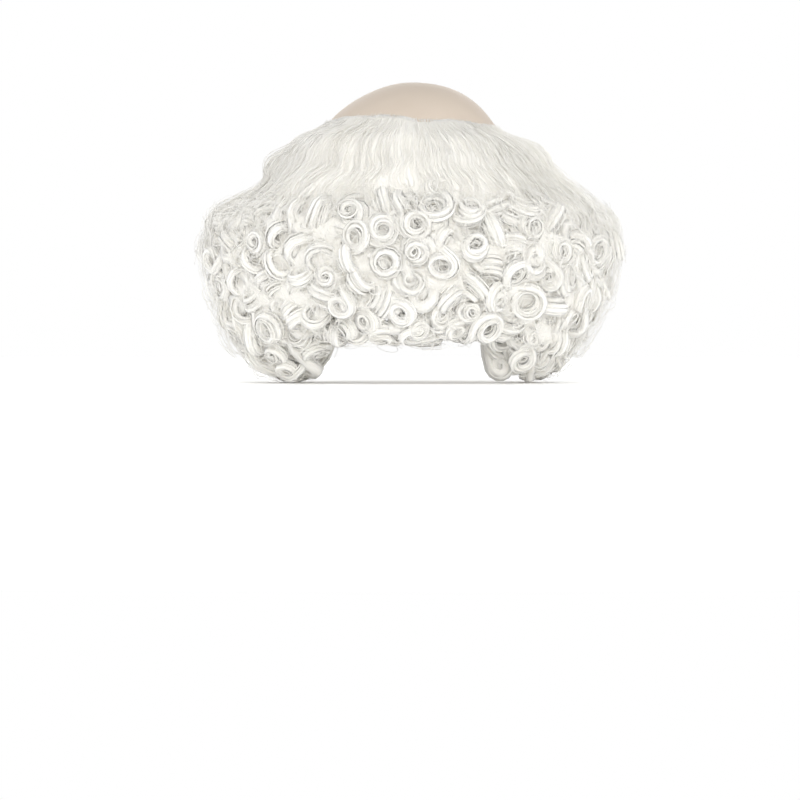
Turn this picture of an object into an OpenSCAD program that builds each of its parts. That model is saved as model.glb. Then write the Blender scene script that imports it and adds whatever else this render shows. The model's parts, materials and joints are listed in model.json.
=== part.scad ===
// Costume wig: a bald crown shell with a horseshoe of curled white hair.
// The hair is sewn in eight wefts to a net cap, which two hooked straps tighten at the nape.
// Frame: +X to the wearer's right, +Y the way the wearer faces, +Z up.
// Origin: on the surface that the lowest curls rest on, under the middle of the bounding box.

/* [Head] */
// Width of the cap across the ears
head_w = 160; // [154:1:166]
// Half length of the cap from its centre to the forehead
head_front = 100; // [95:1:104]
// Half length of the cap from its centre to the back of the head
head_back = 100; // [95:1:104]
// Drop from the top of the crown to the cap's widest level
dome_h = 75; // [70:1:80]
// Radius of the cap around the nape
nape_r = 66; // [62:1:69]

/* [Hair] */
// Height of the wig from its lowest curls to the top of the crown
wig_h = 242; // [236:1:250]
// How far the curls at the sides stand out of their usual outline
side_puff = 0; // [-6:1:6]
// How far the curls at the back stand out of their usual outline
back_puff = 0; // [-6:1:6]

/* [Cap] */
// Thickness of the bald crown shell
crown_t = 1.2; // [0.8:0.1:1.6]
// Thickness of the stretch net
net_t = 0.6; // [0.4:0.1:0.7]
// Width of the vertical tapes
rib_w = 8; // [6:1:12]
// Height of a weft's sewn track
track_h = 4; // [3:0.5:5]

/* [Nape adjuster] */
// Number of loops on each side
loop_count = 5; // [3:1:5]
// Angle from one loop to the next, in degrees
loop_pitch = 4; // [3:0.5:4]
// Height of the elastic straps
strap_h = 6; // [5:0.5:7]

/* [Hidden] */
WEFTS = 8;

LEFT = -1;
RIGHT = 1;
skin_colour = "#D9CBBD";
hair_colour = "#F4F3EE";
net_colour = "#CFC8BC";
tape_colour = "#E6DFD2";

// Levels on the cap. Up to 90 a level is the angle from the crown's top, in degrees.
// Past 90 each unit is 1 mm further down.
hairline = 57;
crown_edge = 60;
front_rim = 86;
ear_level = 125;
nape_level = 193;
tab_level = 151;
widest_z = wig_h - crown_t - dome_h;

// Turns away from the middle of the back, in degrees: 90 is over the ear, 180 the forehead.
hair_end = 128;
tab_turn = 116.5;
tab_half = 10.6;
station = 8;
nose_from = 96;
weave = 4;
low_weft_end = 56;
weft_gap = 0.5;
width_per_degree = 1.6;

// Offsets from the cap's own surface, outwards
net_out = -0.6;
track_in = 1.3;
track_out = 2.7;
hair_in = 3.9;
ear_room = 19;
seam = 0.5;

// Level of each weft's track, and how deep its hair starts at the outside, back and side
track_levels = [57, 72, 86, 104, 120, 138, 156, 174];
track_ends = [126, 126, 126, 124, 64, 62, 58, 54];
nape_hang = 214;
back_depths = [30, 60, 85, 108, 130, 152, 174, 194, nape_hang];
side_depths = [30, 75, 110, 165, wig_h + weft_gap, wig_h, wig_h, wig_h, wig_h];
inner_levels = [57, 72, 86, 104, 120, 138, 156, 174, 226];
hang_level = 250;

// Outline of the hair: [depth below the crown's top, distance from the head's middle]
side_outline = [[30, 70], [42, 86], [62, 112], [81, 124], [106, 162], [138, 170], [177, 161],
                [215, 138], [234, 118], [242, 104]];
back_outline = [[30, 88], [42, 97], [62, 112], [81, 124], [106, 146], [138, 152], [177, 147],
                [205, 132], [nape_hang, 118]];
front_outline = [[30, 92], [62, 110], [106, 124], [177, 126], [215, 118], [242, 104]];

// The head's middle, placed so that the forehead and the back curls are equally far from the origin
centre_y = (152 + back_puff - (head_front + crown_t)) / 2;

function mix(a, b, s) = a + (b - a) * s;
function ramp(x, from, to) = let (s = min(1, max(0, (x - from) / (to - from)))) s * s * (3 - 2 * s);
function turn(th) = abs((th + 630) % 360 - 180);

// Half width and half lengths of the cap at a level
function half_w(v) = mix(head_w / 2, nape_r, ramp(v, 115, 165));
function half_back(v) = mix(head_back, nape_r, ramp(v, 105, 168));
function half_front(v) = mix(head_front, 80, ramp(v, 120, 200));
function height(v, t) = v < 90 ? widest_z + (dome_h + t) * cos(v) : widest_z - (v - 90);
function reach(v) = v < 90 ? sin(v) : 1;

// A point on the cap: angle round it, level, offset outwards
function cap_point(th, v, t) = [
    (half_w(v) + t) * reach(v) * cos(th),
    centre_y + ((sin(th) > 0 ? half_front(v) : half_back(v)) + t) * reach(v) * sin(th),
    height(v, t)
];

// The crown's lower edge and the net's lower edge, at a turn from the middle of the back
function crown_rim(a) = mix(crown_edge, front_rim, ramp(a, 120, 138));
function net_hem(a) = mix(nape_level, ear_level, ramp(a, 50, 78));
function tab_tip(a) = mix(ear_level + 7, tab_level, sqrt(max(0, 1 - pow((a - tab_turn) / tab_half, 2))));

// How far the hair has drawn in towards the temple, and where it ends below
function hair_nose(a) = pow(ramp(a, 92, hair_end), 2);
function side_share(a) = ramp(a, 34, 68);
function temple_rise(a) = 46 * ramp(a, 98, hair_end);
function hair_depth(j, a) = mix(back_depths[j], side_depths[j], side_share(a)) - temple_rise(a) * j / WEFTS;
function hair_level(j, a) = j < 4
    ? inner_levels[j]
    : mix(inner_levels[j], hang_level, side_share(a)) - temple_rise(a);
function hair_lift(a, v) = hair_in + ear_room * side_share(a) * (1 - hair_nose(a)) * ramp(v, 125, 170);
function outline_x(d) = lookup(d, side_outline) + side_puff * ramp(d, 60, 120);
function outline_y(d, th) = sin(th) > 0
    ? lookup(d, front_outline)
    : lookup(d, back_outline) + back_puff * ramp(d, 60, 120);
function level_at(d) = d < dome_h ? acos(1 - d / dome_h) : 90 + d - dome_h;

function hair_inside(th, v) = cap_point(th, v, hair_lift(turn(th), v));
function hair_outside(th, d) =
    let (
        drawn = 0.84 * hair_nose(turn(th)),
        root = cap_point(th, level_at(d), hair_in),
        low = mix(nape_hang, wig_h, side_share(turn(th)))
    )
    [
        mix(outline_x(d * wig_h / low) * cos(th), root.x, drawn),
        mix(centre_y + outline_y(d * (sin(th) > 0 ? 1 : nape_hang / low), th) * sin(th), root.y, drawn),
        wig_h - d
    ];

// Joins closed loops of points into a solid. Each loop is a column going down and one coming back up.
// The closing wall is split along its other diagonal, so that stacked solids share their facets.
module skin(loops) {
    n = len(loops);
    m = len(loops[0]);
    points = [for (loop = loops) each loop];
    walls = [for (i = [0:n - 2], j = [0:m - 1]) let (k = (j + 1) % m, p = i * m, q = (i + 1) * m)
        each j < m - 1
            ? [[p + j, q + j, q + k], [p + j, q + k, p + k]]
            : [[p + j, q + j, p + k], [q + j, q + k, p + k]]];
    first_end = [for (j = [0:m / 2 - 2]) each [[j, j + 1, m - 2 - j], [j, m - 2 - j, m - 1 - j]]];
    last_end = [for (f = first_end) [for (i = [2:-1:0]) f[i] + (n - 1) * m]];
    polyhedron(points, concat(walls, first_end, last_end), convexity = 8);
}

// A curved slab of the cap between two turns, two edges and two offsets
module cap_patch(from, to, steps, top, bottom, rows, t_in, t_out) {
    skin([for (i = [0:steps]) let (th = mix(from, to, i / steps), a = turn(th)) concat(
        [for (k = [0:rows]) cap_point(th, mix(top(a), bottom(a), k / rows), t_out)],
        [for (k = [rows:-1:0]) cap_point(th, mix(top(a), bottom(a), k / rows), t_in)]
    )]);
}

// A slab that covers the same turns on one side or the other
module side_patch(side, from, to, steps, top, bottom, rows, t_in, t_out) {
    first = side == RIGHT ? -90 + from : -90 - to;
    cap_patch(first, first + to - from, steps, top, bottom, rows, t_in, t_out);
}

// The bald shell: rings from the top of its outside, round its rim and back to the top inside
module bald_crown() {
    sides = 80;
    rings = 15;
    outer = [for (k = [1:rings]) [k / rings, crown_t]];
    inner = [for (k = [rings:-1:1]) [k / rings, 0]];
    path = concat(outer, inner);
    points = concat(
        [for (p = path, i = [0:sides - 1]) let (th = -90 + 360 * i / sides)
            cap_point(th, crown_rim(turn(th)) * p[0], p[1])],
        [[0, centre_y, widest_z + dome_h + crown_t], [0, centre_y, widest_z + dome_h]]
    );
    top = len(path) * sides;
    walls = [for (r = [0:len(path) - 2], i = [0:sides - 1])
        let (k = (i + 1) % sides, p = r * sides, q = (r + 1) * sides)
            each [[p + i, q + k, q + i], [p + i, p + k, q + k]]];
    top_fan = [for (i = [0:sides - 1]) [top, (i + 1) % sides, i]];
    inner_fan = [for (i = [0:sides - 1]) [top + 1, top - sides + i, top - sides + (i + 1) % sides]];
    color(skin_colour) polyhedron(points, concat(walls, top_fan, inner_fan), convexity = 4);
}

// Elastic sewn inside the forehead rim
module forehead_band() {
    color(tape_colour)
        cap_patch(48, 132, 20, function(a) front_rim - 9, function(a) front_rim - 1, 2, -1.6, -0.5);
}

// Tape that joins the crown's edge to the net, inside the cap
module hairline_seam_tape() {
    end = 124;
    color(tape_colour)
        cap_patch(-90 - end, -90 + end, 40, function(a) hairline - 4, function(a) crown_edge + 3,
                  2, -2.6, -1.7);
}

module cap_net() {
    color(net_colour)
        cap_patch(-90 - hair_end, -90 + hair_end, 2 * hair_end / weave, function(a) hairline - 2,
                  function(a) net_hem(a), 20, net_out - net_t, net_out);
}

// Narrow elastic along the net's lower edge
module hem_elastic() {
    end = 26 * weave;
    color(tape_colour)
        cap_patch(-90 - end, -90 + end, 2 * end / weave, function(a) net_hem(a) + seam,
                  function(a) net_hem(a) + 4, 1, -1.2, 0.4);
}

// Vertical tape that carries the wefts, centred on one turn
module rib(side, at) {
    half = rib_w / 2 / width_per_degree;
    color(tape_colour)
        cap_patch(-90 + side * at - half, -90 + side * at + half, 2, function(a) crown_edge + 2,
                  function(a) net_hem(a) - 1, 20, 0.1, 0.6);
}

module ear_tab(side) {
    color(tape_colour)
        side_patch(side, tab_turn - tab_half, tab_turn + tab_half, 12, function(a) ear_level + seam,
                   function(a) tab_tip(a), 3, -0.9, 0.3);
}

// Binding down the front edge of the net at the temple
module temple_tape(side) {
    color(tape_colour)
        side_patch(side, hair_end + 0.4, hair_end + 2.6, 2, function(a) front_rim + 2,
                   function(a) ear_level, 4, -1.1, 0.4);
}

// The sewn head of one weft
module weft_track(row) {
    level = track_levels[row - 1];
    end = track_ends[row - 1];
    rise = row == 1 ? 0.4 : 0;
    color(hair_colour)
        cap_patch(-90 - end, -90 + end, 2 * ceil(end / 5), function(a) level,
                  function(a) level + track_h * 0.9, 1, track_in + rise, track_out + rise);
}

// Turns at which a weft's outline is worked out: closer together where it draws in to the temple
function hair_stations(end) = end < nose_from
    ? [for (s = [-end:station:end]) s]
    : concat(
        [for (s = [-end:station / 2:-nose_from]) s],
        [for (s = [-nose_from + station:station:nose_from - station]) s],
        [for (s = [nose_from:station / 2:end]) s]
    );

// The space that one weft's hair fills
module hair_weft(row) {
    end = row > 4 ? low_weft_end : hair_end;
    rows = row == 4 ? 8 : 5;
    below_last = row > 1 ? weft_gap : 0;
    above_next = row < WEFTS ? weft_gap : 0;
    color(hair_colour) skin([for (from_back = hair_stations(end))
        let (
            th = -90 + from_back,
            a = turn(th),
            top = hair_depth(row - 1, a) + below_last,
            bottom = hair_depth(row, a) - above_next,
            inner_top = hair_level(row - 1, a) + weft_gap,
            inner_bottom = hair_level(row, a) - weft_gap
        )
        concat(
            [for (k = [0:rows]) hair_outside(th, mix(top, bottom, k / rows))],
            [for (k = [rows:-1:0]) hair_inside(th, mix(inner_top, inner_bottom, k / rows))]
        )
    ]);
}

// A curved bar about the nape's own axis, on one side: turns, radii and height
module nape_arc(side, from, to, r_in, r_out, low, high) {
    start = side == RIGHT ? -90 + from : -90 - to;
    translate([0, centre_y, widest_z + 90])
        rotate([0, 0, start])
            rotate_extrude(angle = to - from, $fn = 180)
                translate([r_in, -high])
                    square([r_out - r_in, high - low]);
}

// Levels of the adjuster's middle line
adjust_level = 181;
loop_first = 4;
travel = loop_pitch * (loop_count - 1);
hook_turn = loop_first + travel;
hook_len = 7;
strap_end = hook_turn + hook_len + 19;
band_out = nape_r - 1.4;
band_in = nape_r - 2.5;

module nape_band() {
    color(tape_colour)
        nape_arc(RIGHT, -54, 54, band_in, band_out, adjust_level - 7, adjust_level + 6);
}

module loop_tape(side) {
    color(hair_colour) {
        nape_arc(side, 2, hook_turn + 3, band_in - 0.9, band_in - 0.2,
                 adjust_level - 3.5, adjust_level + 3.5);
        for (i = [0:loop_count - 1])
            nape_arc(side, loop_first + i * loop_pitch - 0.6, loop_first + i * loop_pitch + 0.6,
                     band_in - 1.7, band_in - 0.8, adjust_level - 3, adjust_level + 3);
    }
}

module strap_anchor(side) {
    color(tape_colour)
        nape_arc(side, strap_end - 6, strap_end, band_in - 2.8, band_in - 0.2,
                 adjust_level - 4, adjust_level + 4);
}

module adjuster_strap(side) {
    color("#F1EFEA")
        nape_arc(side, hook_turn + hook_len + 0.2, strap_end, band_in - 3.9, band_in - 3,
                 adjust_level - strap_h / 2, adjust_level + strap_h / 2);
}

// A flat hook with a window for the strap and a tongue folded back behind the plate
module adjuster_hook(side) {
    plate_in = band_in - 3.9;
    plate_out = band_in - 3.1;
    color("#E9E7E2") {
        difference() {
            nape_arc(side, hook_turn, hook_turn + hook_len, plate_in, plate_out,
                     adjust_level - 4, adjust_level + 4);
            nape_arc(side, hook_turn + hook_len - 3, hook_turn + hook_len - 1.4, plate_in - 1, plate_out + 1,
                     adjust_level - 3, adjust_level + 3);
        }
        nape_arc(side, hook_turn, hook_turn + 0.8, plate_in, band_in - 1.9,
                 adjust_level - 2, adjust_level + 2);
        nape_arc(side, hook_turn, hook_turn + 3.6, band_in - 2.5, band_in - 1.9,
                 adjust_level - 2, adjust_level + 2);
    }
}

// Blank label sewn over the middle rib's inside, above the nape band
module care_label() {
    color("#FBFBFA")
        cap_patch(-97, -83, 4, function(a) 150, function(a) 168, 4, -2, -1.5);
}

bald_crown();
forehead_band();
hairline_seam_tape();
cap_net();
hem_elastic();
rib(RIGHT, 0);  // rib_centre
rib(LEFT, 32);  // rib_back_left
rib(RIGHT, 32);  // rib_back_right
rib(LEFT, 96);  // rib_side_left
rib(RIGHT, 96);  // rib_side_right
ear_tab(LEFT);  // ear_tab_left
ear_tab(RIGHT);  // ear_tab_right
temple_tape(LEFT);  // temple_tape_left
temple_tape(RIGHT);  // temple_tape_right
for (row = [1:WEFTS]) {
    weft_track(row);
    hair_weft(row);
}
nape_band();
loop_tape(LEFT);  // loop_tape_left
loop_tape(RIGHT);  // loop_tape_right
strap_anchor(LEFT);  // strap_anchor_left
strap_anchor(RIGHT);  // strap_anchor_right
adjuster_strap(LEFT);  // adjuster_strap_left
adjuster_strap(RIGHT);  // adjuster_strap_right
adjuster_hook(LEFT);  // adjuster_hook_left
adjuster_hook(RIGHT);  // adjuster_hook_right
care_label();
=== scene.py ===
"""Costume wig: a bald latex crown above a horseshoe of curled white hair.

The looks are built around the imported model. Every length in the classes below is in millimetres, and
Skin.make turns it into metres. A turn is the angle round the head from the middle of the back, in
degrees: 0 behind, 90 over an ear, 180 at the forehead, and negative on the wearer's left. A level is a
height on the cap: up to 90 it is the angle from the crown's top, and past 90 each unit is 1 mm down.
A depth is the distance below the crown's top.
"""

import json
import logging
import math
from dataclasses import dataclass, field
from enum import Enum
from typing import Callable, Optional, Union

import bpy
import numpy as np
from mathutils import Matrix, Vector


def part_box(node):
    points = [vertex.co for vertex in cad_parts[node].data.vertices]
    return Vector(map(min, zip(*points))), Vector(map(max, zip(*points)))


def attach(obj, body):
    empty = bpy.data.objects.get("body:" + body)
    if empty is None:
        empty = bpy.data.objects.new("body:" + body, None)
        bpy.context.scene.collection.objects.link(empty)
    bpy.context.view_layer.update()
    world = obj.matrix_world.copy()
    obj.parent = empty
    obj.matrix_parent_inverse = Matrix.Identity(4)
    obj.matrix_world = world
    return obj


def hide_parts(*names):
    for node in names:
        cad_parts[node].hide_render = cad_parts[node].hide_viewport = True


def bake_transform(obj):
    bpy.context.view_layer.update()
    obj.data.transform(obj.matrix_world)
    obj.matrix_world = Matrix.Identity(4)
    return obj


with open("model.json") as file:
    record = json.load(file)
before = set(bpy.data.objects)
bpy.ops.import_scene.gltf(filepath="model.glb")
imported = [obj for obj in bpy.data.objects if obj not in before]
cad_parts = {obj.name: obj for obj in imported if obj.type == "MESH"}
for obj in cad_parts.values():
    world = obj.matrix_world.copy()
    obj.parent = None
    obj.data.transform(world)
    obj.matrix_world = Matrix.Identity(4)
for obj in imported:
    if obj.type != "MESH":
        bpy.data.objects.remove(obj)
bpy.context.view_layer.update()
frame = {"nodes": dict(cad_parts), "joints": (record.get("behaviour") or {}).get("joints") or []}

MM = 0.001
SEED = 1789
LOG = logging.getLogger("costume_wig")
Amount = Union[float, np.ndarray]
Edge = Callable[[Amount], Amount]


class Slot(Enum):
    """The record's material slots."""

    HAIR = "hair"
    CROWN = "crown"
    NET = "net"
    TAPE = "tape"
    HOOK = "hook"
    LABEL = "label"


class Side(Enum):
    """A side of the head, as the sign of X: the wearer's right is +X."""

    LEFT = -1
    RIGHT = 1

    @property
    def word(self) -> str:
        """The side's name in lower case."""
        return self.name.lower()

    def turns(self, near: float, far: float) -> tuple[float, float]:
        """The stretch on this side between two turns, with the lower one first."""
        return tuple(sorted((self.value * near, self.value * far)))


class Zone(Enum):
    """The three stretches of hair that a weft is split into, by turn."""

    LEFT = (-180.0, -44.0)
    BACK = (-44.0, 44.0)
    RIGHT = (44.0, 180.0)

    def holds(self, turn: np.ndarray) -> np.ndarray:
        """Says which turns lie in this stretch."""
        return (turn >= self.value[0]) & (turn < self.value[1])


class Face(Enum):
    """The faces of the hair's outline that curls are spread over."""

    OUTSIDE = "outside"
    BELOW = "below"
    INSIDE = "inside"


# ---------------------------------------------------------------- numbers and arrays


def mix(a: Amount, b: Amount, share: Amount) -> Amount:
    """Goes from a to b in a straight line as share goes from 0 to 1."""
    return a + (b - a) * share


def ramp(x: Amount, start: float, end: float) -> np.ndarray:
    """Rises from 0 at start to 1 at end as 3s^2 - 2s^3, where s is the share of the way, held to 0..1."""
    share = np.clip((np.asarray(x, float) - start) / (end - start), 0.0, 1.0)
    return share * share * (3 - 2 * share)


def unit(v: np.ndarray) -> np.ndarray:
    """Divides each vector by its own length."""
    return v / np.maximum(np.linalg.norm(v, axis=-1, keepdims=True), 1e-9)


def across(v: np.ndarray, along: np.ndarray) -> np.ndarray:
    """Takes from each v its share along a unit vector, and makes what is left a unit vector."""
    return unit(v - (v * along).sum(-1, keepdims=True) * along)


def lid(ring: int) -> np.ndarray:
    """Corners of the quads that close a flat ring of points, as the rungs of a ladder across it."""
    i = np.arange(ring // 2 - 1)
    return np.stack([i, i + 1, ring - 2 - i, ring - 1 - i], axis=-1)


def level_edge(level: float) -> Edge:
    """A strip's edge that stays at one level at every turn."""
    return lambda turn: level + 0 * turn


def lowered(edge: Edge, drop: float) -> Edge:
    """A strip's edge that lies drop levels below another."""
    return lambda turn: edge(turn) + drop


# ---------------------------------------------------------------- meshes


@dataclass
class Skin:
    """A closed mesh in millimetres, with a fibre coordinate and a tone for each point."""

    points: np.ndarray
    quads: np.ndarray
    tris: np.ndarray
    fibre: np.ndarray
    tone: np.ndarray

    @staticmethod
    def join(skins: list["Skin"]) -> "Skin":
        """Puts several skins into one mesh.

        Args:
            skins: the meshes, which stay separate shells.

        Returns:
            One skin whose faces point at the same points as before, counted on from shell to shell.
        """
        starts = np.cumsum([0] + [len(s.points) for s in skins[:-1]])
        return Skin(
            np.concatenate([s.points for s in skins]),
            np.concatenate([s.quads + n for s, n in zip(skins, starts)]),
            np.concatenate([s.tris + n for s, n in zip(skins, starts)]),
            np.concatenate([s.fibre for s in skins]),
            np.concatenate([s.tone for s in skins]),
        )

    def outward(self) -> "Skin":
        """Turns a single shell's faces outwards.

        The signed volume is the sum over the faces of a . (b x c) / 6, and it is positive when they
        already point outwards.

        Returns:
            This skin.
        """
        faces = np.concatenate([self.quads[:, :3], self.quads[:, [0, 2, 3]], self.tris])
        a, b, c = (self.points[faces[:, i]] for i in range(3))
        if (a * np.cross(b, c)).sum() < 0:
            self.quads, self.tris = self.quads[:, ::-1], self.tris[:, ::-1]
        return self

    def make(self, name: str) -> bpy.types.Object:
        """Makes the Blender object, in metres, with its place in its mesh.

        Args:
            name: the piece's name.

        Returns:
            The object, smooth shaded, with the point attributes fibre and tone.
        """
        mesh = bpy.data.meshes.new(name)
        loops = np.concatenate([self.quads.ravel(), self.tris.ravel()]).astype(np.int32)
        sizes = np.repeat([4, 3], [len(self.quads), len(self.tris)]).astype(np.int32)
        mesh.vertices.add(len(self.points))
        mesh.vertices.foreach_set("co", (self.points * MM).astype(np.float32).ravel())
        mesh.loops.add(len(loops))
        mesh.loops.foreach_set("vertex_index", loops)
        mesh.polygons.add(len(sizes))
        mesh.polygons.foreach_set("loop_start", (np.cumsum(sizes) - sizes).astype(np.int32))
        mesh.polygons.foreach_set("use_smooth", np.ones(len(sizes), bool))
        mesh.update(calc_edges=True)
        fibre = mesh.attributes.new("fibre", "FLOAT_VECTOR", "POINT")
        fibre.data.foreach_set("vector", self.fibre.astype(np.float32).ravel())
        tone = mesh.attributes.new("tone", "FLOAT", "POINT")
        tone.data.foreach_set("value", self.tone.astype(np.float32))
        mesh.validate()
        piece = bpy.data.objects.new(name, mesh)
        bpy.context.scene.collection.objects.link(piece)
        return piece


def tubes(
    path: np.ndarray,
    side: np.ndarray,
    half_width: np.ndarray,
    half_thick: np.ndarray,
    sides: int,
    fibre_start: np.ndarray,
    tone: np.ndarray,
) -> Skin:
    """Carries an oval along many paths at once.

    At each station the point at angle p is path + cos(p) * half_width * side + sin(p) * half_thick * rad,
    where rad is the path's direction crossed with side. Both ends are closed.

    Args:
        path: centre lines, shaped (lines, stations, 3).
        side: the direction of the oval's width, shaped as path.
        half_width: half of the oval's width, shaped (lines, stations).
        half_thick: half of its thickness, shaped (lines, stations).
        sides: the number of points round the oval.
        fibre_start: where each line's fibre pattern starts, shaped (lines, 3).
        tone: each line's tone at each station, shaped (lines, stations).

    Returns:
        One skin that holds every tube.
    """
    lines, stations = path.shape[:2]
    ahead = unit(np.gradient(path, axis=1))
    side = across(side, ahead)
    rad = np.cross(ahead, side)
    angle = 2 * np.pi * np.arange(sides) / sides
    wide = (half_width[..., None] * np.cos(angle))[..., None]
    thick = (half_thick[..., None] * np.sin(angle))[..., None]
    points = path[:, :, None] + wide * side[:, :, None] + thick * rad[:, :, None]

    step = np.linalg.norm(np.diff(path, axis=1), axis=-1)
    run = np.concatenate([np.zeros((lines, 1)), np.cumsum(step, axis=1)], axis=1)
    fibre = np.empty(points.shape)
    fibre[..., 0] = run[..., None]
    fibre[..., 1] = wide[..., 0]
    fibre[..., 2] = thick[..., 0]
    fibre += fibre_start[:, None, None]

    first = np.arange(lines)[:, None, None] * stations * sides
    ring = first + np.arange(stations)[None, :, None] * sides + np.arange(sides)[None, None]
    turned = np.roll(ring, -1, axis=2)
    walls = np.stack([ring[:, :-1], turned[:, :-1], turned[:, 1:], ring[:, 1:]], axis=-1).reshape(-1, 4)
    start, end = ring[:, 0], ring[:, -1]
    if sides == 3:
        caps_quad = np.zeros((0, 4), int)
        caps_tri = np.concatenate([start[:, ::-1], end])
    else:
        picks = lid(sides)
        caps_quad = np.concatenate([start[:, picks][..., ::-1].reshape(-1, 4), end[:, picks].reshape(-1, 4)])
        caps_tri = np.zeros((0, 3), int)
    return Skin(
        points.reshape(-1, 3),
        np.concatenate([walls, caps_quad]),
        caps_tri,
        fibre.reshape(-1, 3),
        np.repeat(tone.ravel(), sides),
    )


def closed_grid(points: np.ndarray, fibre: np.ndarray, wrap_columns: bool) -> Skin:
    """Joins a grid of points into a shell.

    Args:
        points: shaped (columns, ring, 3). Each column is a closed ring of points.
        fibre: the fibre coordinate of each point, shaped as points.
        wrap_columns: joins the last column to the first. Otherwise both end rings are closed flat.

    Returns:
        A closed skin with its faces outwards.
    """
    columns, ring = points.shape[:2]
    grid = np.arange(columns * ring).reshape(columns, ring)
    turned = np.roll(grid, -1, axis=1)
    last = columns if wrap_columns else columns - 1
    there, there_turned = (np.roll(x, -1, axis=0)[:last] for x in (grid, turned))
    quads = np.stack([grid[:last], turned[:last], there_turned, there], axis=-1).reshape(-1, 4)
    if not wrap_columns:
        picks = lid(ring)
        quads = np.concatenate([quads, grid[0][picks][:, ::-1], grid[-1][picks]])
    return Skin(
        points.reshape(-1, 3),
        quads,
        np.zeros((0, 3), int),
        fibre.reshape(-1, 3),
        np.zeros(columns * ring),
    ).outward()


# ---------------------------------------------------------------- finishes


def linear(hex_colour: str) -> tuple[float, float, float, float]:
    """Turns an sRGB hex colour into linear RGBA.

    A channel c is c / 12.92 up to 0.04045, and ((c + 0.055) / 1.055) ^ 2.4 above it.
    """
    channels = [int(hex_colour[i:i + 2], 16) / 255 for i in (1, 3, 5)]
    return (*[c / 12.92 if c <= 0.04045 else ((c + 0.055) / 1.055) ** 2.4 for c in channels], 1.0)


def add_node(
    tree: bpy.types.NodeTree, kind: str, settings: dict, links: Optional[dict] = None
) -> bpy.types.Node:
    """Adds one node.

    Args:
        tree: the node tree.
        kind: Blender's name for the node's type.
        settings: values by the name or number of an input, or by the name of a property.
        links: sockets to link in, by the name or number of an input.

    Returns:
        The node.
    """
    node = tree.nodes.new(kind)
    for key, value in settings.items():
        if isinstance(key, int) or key in node.inputs:
            node.inputs[key].default_value = value
        else:
            setattr(node, key, value)
    for key, socket in (links or {}).items():
        tree.links.new(socket, node.inputs[key])
    return node


@dataclass(frozen=True)
class Finish:
    """What every finish shares: a name, and a Principled surface with a few constants."""

    name: str
    roughness: float = 0.5
    ior: float = 1.5

    def start(self) -> tuple[bpy.types.Material, bpy.types.NodeTree, bpy.types.Node]:
        """Makes an empty material with one Principled node linked to its output.

        Returns:
            The material, its node tree and the Principled node.
        """
        material = bpy.data.materials.new(self.name)
        material.use_nodes = True
        tree = material.node_tree
        tree.nodes.clear()
        surface = add_node(
            tree, "ShaderNodeBsdfPrincipled", {"Roughness": self.roughness, "IOR": self.ior}
        )
        add_node(tree, "ShaderNodeOutputMaterial", {}, {"Surface": surface.outputs[0]})
        return material, tree, surface


@dataclass(frozen=True)
class ModacrylicHair(Finish):
    """Modacrylic wig fibre, drawn and heat-set into curls: near-white, satin, with fine lengthwise lines.

    A real fibre is about 0.06 mm thick, too fine to show. The lines are bundles of fibre, streak wide and
    run long.
    """

    light: str = "#FDFCF9"
    shade: str = "#F6F4EE"
    deep: str = "#EDEAE1"
    streak: float = 1.0
    run: float = 36.0
    sheen: float = 0.8

    def material(self) -> bpy.types.Material:
        """Builds the material.

        The pattern follows the fibre attribute, which is in millimetres along and across each lock, so
        noise stretched along it draws bundles of fibre.

        Returns:
            The material.
        """
        material, tree, surface = self.start()
        fibre = add_node(tree, "ShaderNodeAttribute", {"attribute_name": "fibre"})
        tone = add_node(tree, "ShaderNodeAttribute", {"attribute_name": "tone"})
        drawn = add_node(
            tree, "ShaderNodeMapping",
            {"Scale": (1 / self.run, 1 / self.streak, 1 / self.streak)},
            {"Vector": fibre.outputs["Vector"]},
        )
        streaks = add_node(
            tree, "ShaderNodeTexNoise", {"Scale": 1.0, "Detail": 3.0, "Roughness": 0.6},
            {"Vector": drawn.outputs[0]},
        )
        spread = add_node(
            tree, "ShaderNodeMapRange", {"From Min": 0.3, "From Max": 0.62}, {"Value": streaks.outputs[0]}
        )
        pale = add_node(
            tree, "ShaderNodeMix", {"data_type": "RGBA", 6: linear(self.shade), 7: linear(self.light)},
            {0: spread.outputs[0]},
        )
        body = add_node(
            tree, "ShaderNodeMix", {"data_type": "RGBA", 7: linear(self.deep)},
            {0: tone.outputs["Fac"], 6: pale.outputs[2]},
        )
        satin = add_node(
            tree, "ShaderNodeMapRange",
            {
                "From Min": 0.3, "From Max": 0.7,
                "To Min": self.roughness - 0.07, "To Max": self.roughness + 0.1,
            },
            {"Value": streaks.outputs[0]},
        )
        bump = add_node(
            tree, "ShaderNodeBump", {"Strength": 0.5, "Distance": 0.3 * MM}, {"Height": streaks.outputs[0]}
        )
        surface.inputs["Sheen Weight"].default_value = self.sheen
        surface.inputs["Sheen Roughness"].default_value = 0.5
        surface.inputs["Diffuse Roughness"].default_value = 1.0
        tree.links.new(body.outputs[2], surface.inputs["Base Color"])
        tree.links.new(satin.outputs[0], surface.inputs["Roughness"])
        tree.links.new(bump.outputs[0], surface.inputs["Normal"])
        return material


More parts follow.
